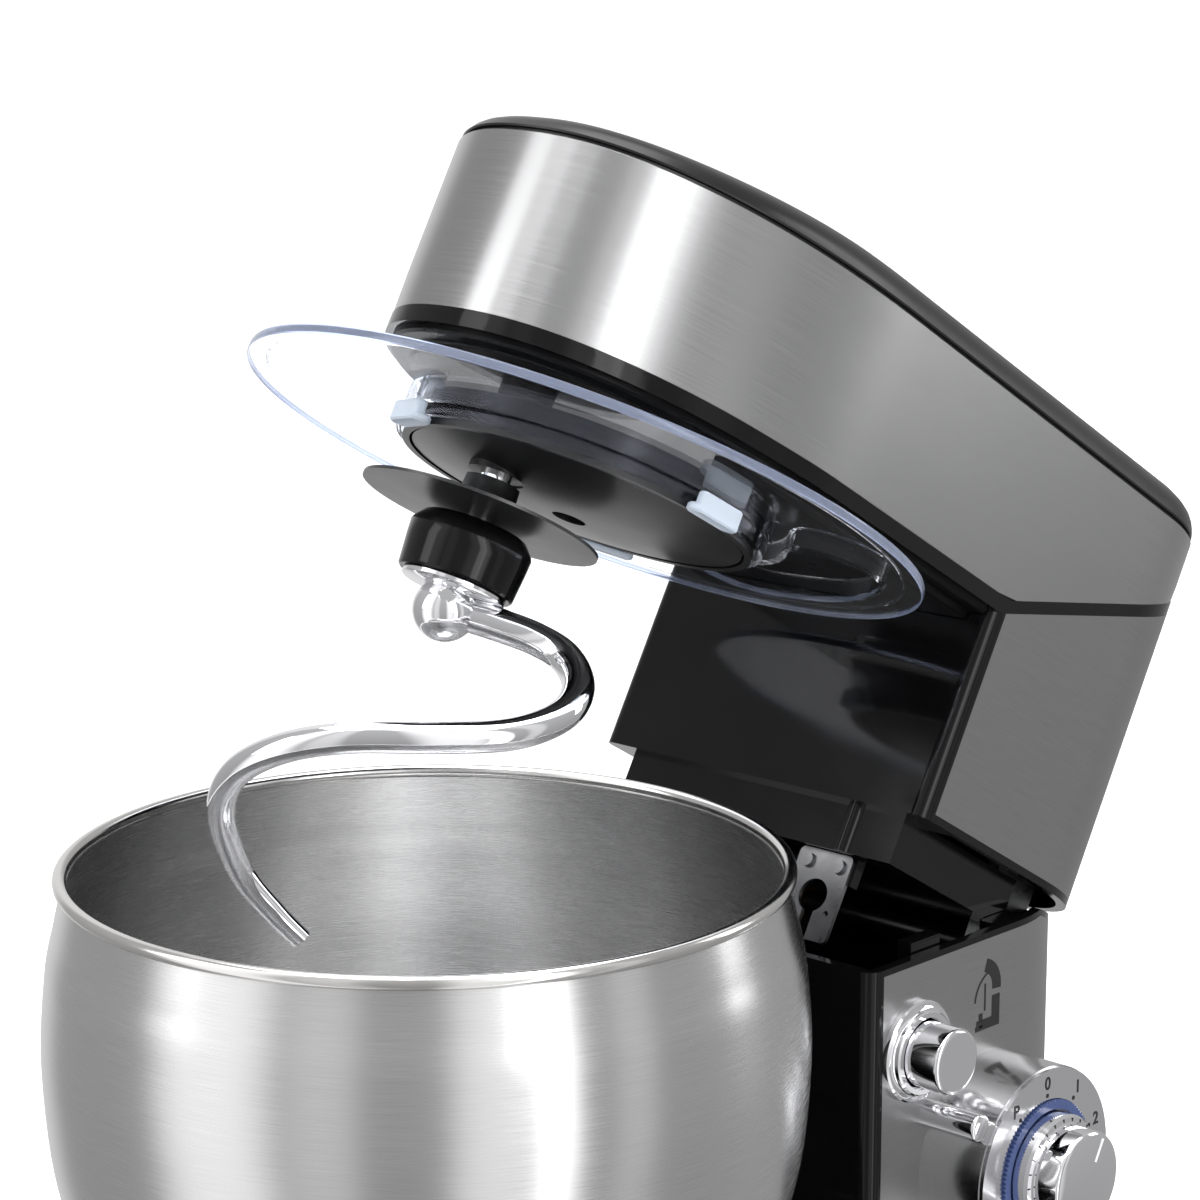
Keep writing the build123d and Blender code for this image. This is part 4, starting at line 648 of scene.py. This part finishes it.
clips = []
for clip_angle in CLIP_ANGLES:
    turned = Matrix.Rotation(math.radians(clip_angle), 4, "Z")
    for middle, size, corner, high in CLIP_BLOCKS:
        clip_verts, clip_faces = rounded_block(middle, size, corner, CLIP_LOW_Z, CLIP_LOW_Z + high)
        clips.append(([turned @ Vector(v) for v in clip_verts], clip_faces))
make("clip_bodies", *join(*clips), "frosted", HEAD, "head", "frosted_plastic", ["guard_clips"])

# Dial --------------------------------------------------------------------------------

PLATE_FRONT = 1.6


def ribbed_ring(radius, depth, low, high, count):
    """Ring with small ribs round it, in the dial's frame where z points outwards."""
    verts = []
    steps = count * 6
    rows = [(radius - 3.2, low), (radius, low), (radius, high), (radius - 3.2, high)]
    for row, (reach, height) in enumerate(rows):
        for step in range(steps):
            angle = 2 * math.pi * step / steps
            wave = depth * (0.5 + 0.5 * math.cos(count * angle)) if row in (1, 2) else 0.0
            verts.append((*polar(reach - wave, angle), height))
    return verts, grid_faces(4, steps, closed_rows=True)


make("dial_ring", *ribbed_ring(23.6, 0.7, 0.2, 2.6, 96), "ring", DIAL_AT, "base", "light_ring",
     ["dial_light_ring"])


def stroke(points, width, height, low=0.0):
    """Flat printed line through points in the dial's plane."""
    verts = []
    for index, spot in enumerate(points):
        here = Vector(spot)
        after = Vector(points[min(index + 1, len(points) - 1)])
        before = Vector(points[max(index - 1, 0)])
        ahead = (after - before).normalized()
        side = Vector((-ahead.y, ahead.x)) * width / 2
        for level in (low, height):
            for edge in (here - side, here + side):
                verts.append((edge.x, edge.y, level))
    faces = []
    for index in range(len(points) - 1):
        a = index * 4
        b = a + 4
        faces += [(a, a + 1, b + 1, b), (a + 2, b + 2, b + 3, a + 3), (a, b, b + 2, a + 2),
                  (a + 1, a + 3, b + 3, b + 1)]
    last = (len(points) - 1) * 4
    faces += [(0, 2, 3, 1), (last, last + 1, last + 3, last + 2)]
    return verts, faces


def lettering(text, size, height, at, offset=0.0):
    """A raised printed character as a mesh."""
    curve = bpy.data.curves.new("lettering", "FONT")
    curve.body = text
    curve.size = size
    curve.align_x = "CENTER"
    curve.align_y = "CENTER"
    curve.extrude = height / 2
    curve.offset = offset
    holder = bpy.data.objects.new("lettering", curve)
    mesh = bpy.data.meshes.new_from_object(holder)
    place = Matrix.Translation((at[0], at[1], at[2] + height / 2))
    verts = [tuple(place @ v.co) for v in mesh.vertices]
    faces = [tuple(face.vertices) for face in mesh.polygons]
    bpy.data.objects.remove(holder)
    bpy.data.curves.remove(curve)
    bpy.data.meshes.remove(mesh)
    return verts, faces


MARK_R = 29.4
DOT_RING_R = 25.4
DOT_R = 0.75
PRINT_H = 0.1
FIRST_MARK = 125
MARK_STEP = 35
dot = lathe([(AXIS_R, PLATE_FRONT), (DOT_R, PLATE_FRONT), (DOT_R, PLATE_FRONT + PRINT_H),
             (AXIS_R, PLATE_FRONT + PRINT_H)], 20)
marks = []
for index, text in enumerate("P0123456"):
    turn = math.radians(FIRST_MARK - MARK_STEP * index)
    marks.append(lettering(text, 6.2, PRINT_H, (*polar(MARK_R, turn), PLATE_FRONT), offset=0.12))
    marks.append(moved(dot, (*polar(DOT_RING_R, turn), 0)))
make("dial_marks", *join(*marks), "ink", DIAL_AT, "base", "black_satin")

knob = [(AXIS_R, 0.5), (19.3, 0.5), (19.8, 1.0), (19.8, 7.2), (19.0, 8.3), (17.4, 8.6), (16.9, 9.2),
        (16.8, 17.4), (16.4, 18.3), (15.4, 18.9), (AXIS_R, 19.0)]
make("dial_knob", *lathe(knob, 128), "chrome", DIAL_AT, "dial", "chrome", ["speed_dial"])
POINTER_TURN = math.radians(60)
pointer = stroke([polar(7.0, POINTER_TURN), polar(15.0, POINTER_TURN)], 0.9, 19.06, 18.9)
make("dial_pointer", *pointer, "white_ink", DIAL_AT, "dial", "chrome")
TICK_COUNT = 24
ticks = []
for index in range(TICK_COUNT):
    turn = 2 * math.pi * index / TICK_COUNT
    ticks.append(stroke([polar(17.7, turn), polar(18.9, turn)], 0.4, 8.62, 8.2))
make("dial_ticks", *join(*ticks), "ink", DIAL_AT, "dial", "chrome")

# Release button, its spring and the icon on the side panel ------------------------------

BEZEL_BORE_R = 11.4
bezel = [(BEZEL_BORE_R, 0.05), (17.0, 0.05), (17.0, 1.8), (16.4, 2.4), (14.9, 2.6), (14.4, 3.0), (14.2, 4.2),
         (13.6, 4.8), (12.0, 4.8), (BEZEL_BORE_R, 4.2)]
make("button_bezel", *lathe(bezel, 96), "chrome", BUTTON_AT, "base", "chrome", ["button_flange"])

SPRING_START_Y = -66.1         # against the column's wall
SPRING_END_Y = -73.5           # against the button
SPRING_R = 7.4
WIRE_R = 0.55
COIL_STEPS = 4 * 36            # four turns
coil = []
for step in range(COIL_STEPS + 1):
    x, z = polar(SPRING_R, math.radians(90 + 10 * step), (BUTTON_X, BUTTON_Z))
    run_y = SPRING_END_Y - SPRING_START_Y + 2 * WIRE_R
    coil.append(Vector((x, SPRING_START_Y - WIRE_R + run_y * step / COIL_STEPS, z)))
coil_piece = make("button_coil", *sweep(coil, [WIRE_R] * len(coil), 12), "zinc", BASE, "base", "screw_steel",
                  ["button_spring"])
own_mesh(coil_piece)
INK_H = 0.08


def icon_arc(centre, radius, start, end, width, steps=14):
    """Printed arc in the icon."""
    turns = [math.radians(start + (end - start) * step / steps) for step in range(steps + 1)]
    return stroke([polar(radius, turn, centre) for turn in turns], width, INK_H)


icon = [stroke([(-6.0, -10.6), (7.0, -10.6)], 1.8, INK_H),
        stroke([(-5.4, -8.8), (7.0, -8.8)], 2.0, INK_H),
        stroke([(4.9, -8.0), (4.9, -0.6)], 4.2, INK_H),
        stroke([(-4.2, -8.0), (-2.2, -8.0)], 5.0, INK_H),
        icon_arc((-3.2, 2.6), 8.4, -8, 74, 4.6),
        icon_arc((4.2, -2.0), 10.6, 112, 176, 0.8),
        stroke([(-1.0, 4.4), (-1.0, -5.0)], 0.8, INK_H)]
make("lift_icon", *join(*icon), "ink", ICON_AT, "base", "black_satin")

# Materials of the remaining CAD pieces --------------------------------------------------

LOOKS = {
    "gloss": ["base_housing", "head_shell", "leg_front_panel", "leg_skirt"],
    "satin": ["hinge_frame", "hinge_pin", "hook_shaft_bush", "base_plate", "bowl_seat_ring",
              "latch_bracket", "speed_switch", "planet_trim_ring"],
    "disc": ["hook_guard_disc", "planet_disc"],
    "rubber": ["suction_feet", "cord_gland", "drive_belt"],
    "zinc": ["base_screws", "latch_pin"],
    "column": ["column_steel_wrap"],
    "boss": ["dial_boss"],
    "side": ["leg_steel_wrap"],
    "sheet": ["lock_plate", "head_screws", "ring_gear", "motor_can", "planet_shaft", "hook_pinion",
              "counter_shaft"],
    "chrome": ["release_button", "dial_post", "hook_shaft"],
    "dial_chrome": ["dial_plate"],
    "bowl_rim": ["bowl_foot_ring"],
    "cast": ["arm_frame", "gear_bridge", "motor_pulley"],
    "housing": ["planet_housing"],
    "bronze": ["hinge_bushes", "gear_bearings", "motor_bearings"],
    "nylon": ["main_gear", "counter_pulley", "motor_fan"],
    "copper": ["motor_stator", "motor_rotor"],
    "carbon": ["motor_brushes"],
    "green": ["control_board"],
}
for look, names in LOOKS.items():
    for name in names:
        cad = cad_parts[name]
        cad.data.materials.clear()
        cad.data.materials.append(M[look])
        cad.data.shade_smooth()
        cad.data.set_sharp_from_angle(angle=CAD_SHARP)

# Studio --------------------------------------------------------------------------------

FLOOR_HALF = 30.0
DOME_R = 28.0
DOME_ELEVATIONS = (-1, 10, 20, 30, 40, 50, 60, 70, 80, 89.9)
WHITE = (1, 1, 1, 1)


def scenery(name, verts, faces, color, rough, glow):
    """A piece of the studio with a little light of its own, unseen in reflections."""
    mat = material(name + "_paint", color, roughness=rough, Emission_Strength=glow)
    mat.node_tree.nodes["Principled BSDF"].inputs["Emission Color"].default_value = WHITE
    mesh = bpy.data.meshes.new(name)
    mesh.from_pydata(verts, [], faces)
    mesh.materials.append(mat)
    obj = bpy.data.objects.new(name, mesh)
    obj.visible_glossy = False
    bpy.context.collection.objects.link(obj)
    return obj


floor_corners = [(x * FLOOR_HALF, y * FLOOR_HALF, 0) for x, y in ((-1, -1), (1, -1), (1, 1), (-1, 1))]
scenery("floor", floor_corners, [(0, 1, 2, 3)], (0.80, 0.80, 0.80), 0.8, 0.42)
dome_steps = 64
dome_verts = lathe([polar(DOME_R, math.radians(rise)) for rise in DOME_ELEVATIONS], dome_steps)[0]
dome_faces = grid_faces(len(DOME_ELEVATIONS), dome_steps)
backdrop = scenery("backdrop", dome_verts, dome_faces, (1, 1, 1), 1.0, 1.0)
backdrop.visible_diffuse = False
backdrop.visible_shadow = False

# The room: soft grey, brighter upwards, with brighter upright bands that the metal reflects.
# Each band has its azimuth and half width in degrees and the strength it adds.
LOBES = [(-97, 8, 2.0), (-116, 16, 0.7), (-165, 14, 0.35), (160, 26, 0.9), (-72, 9, 0.3), (60, 30, 0.4)]
world = bpy.data.worlds.new("studio")
bpy.context.scene.world = world
world.use_nodes = True
sky = world.node_tree


def span(source, from_low, from_high, to_low, to_high, smooth=False):
    """Maps a socket's value from one range to another in the world's nodes."""
    ranged = sky.nodes.new("ShaderNodeMapRange")
    if smooth:
        ranged.interpolation_type = "SMOOTHSTEP"
    for socket, value in zip(("From Min", "From Max", "To Min", "To Max"),
                             (from_low, from_high, to_low, to_high)):
        ranged.inputs[socket].default_value = value
    sky.links.new(source, ranged.inputs["Value"])
    return ranged.outputs["Result"]


def vector_math(operation, source, other=None):
    """A vector operation on a socket and an optional fixed vector."""
    made = sky.nodes.new("ShaderNodeVectorMath")
    made.operation = operation
    sky.links.new(source, made.inputs[0])
    if other is not None:
        made.inputs[1].default_value = other
    return made


direction = sky.nodes.new("ShaderNodeTexCoord").outputs["Generated"]
axes = sky.nodes.new("ShaderNodeSeparateXYZ")
sky.links.new(direction, axes.inputs["Vector"])
total = span(axes.outputs["Z"], -0.6, 0.9, 0.36, 0.55)
flat = vector_math("MULTIPLY", direction, (1, 1, 0))
level = vector_math("NORMALIZE", flat.outputs["Vector"])
for azimuth, half_width, strength in LOBES:
    toward = (*polar(1, math.radians(azimuth)), 0)
    facing = vector_math("DOT_PRODUCT", level.outputs["Vector"], toward)
    lobe = span(facing.outputs["Value"], math.cos(math.radians(half_width)), 1.0, 0.0, strength, smooth=True)
    both = sky.nodes.new("ShaderNodeMath")
    sky.links.new(total, both.inputs[0])
    sky.links.new(lobe, both.inputs[1])
    total = both.outputs["Value"]
background = sky.nodes["Background"]
sky.links.new(total, background.inputs["Strength"])
background.inputs["Color"].default_value = WHITE


def softbox(name, place, target, width, height, power):
    """Rectangular area light aimed at a point."""
    lamp = bpy.data.lights.new(name, "AREA")
    lamp.shape = "RECTANGLE"
    lamp.size = width
    lamp.size_y = height
    lamp.energy = power
    obj = bpy.data.objects.new(name, lamp)
    obj.location = place
    obj.rotation_euler = (Vector(target) - Vector(place)).to_track_quat("-Z", "Y").to_euler()
    bpy.context.collection.objects.link(obj)


MIDDLE = (-0.05, 0, 0.3)
softbox("near_strip", (-0.62, -2.0, 1.15), MIDDLE, 0.45, 1.6, 7)
softbox("far_strip", (-1.7, 1.1, 1.2), MIDDLE, 0.7, 1.6, 7)
softbox("right", (1.9, -1.2, 0.9), (0, 0, 0.25), 0.5, 1.4, 8)
softbox("overhead", (0.1, 0.1, 2.6), (0, 0, 0), 2.2, 2.2, 60)

CAMERA_AT = Vector((-0.86509, -0.77446, 0.54859))
CAMERA_TARGET = Vector((-0.07269, -0.03844, 0.30467))
camera_data = bpy.data.cameras.new("camera")
camera_data.lens = 111.88
camera_data.sensor_width = 36.0
camera = bpy.data.objects.new("camera", camera_data)
camera.location = CAMERA_AT
camera.rotation_euler = (CAMERA_TARGET - CAMERA_AT).to_track_quat("-Z", "Y").to_euler()
bpy.context.collection.objects.link(camera)
bpy.context.scene.camera = camera
bpy.context.scene.view_settings.view_transform = "Standard"

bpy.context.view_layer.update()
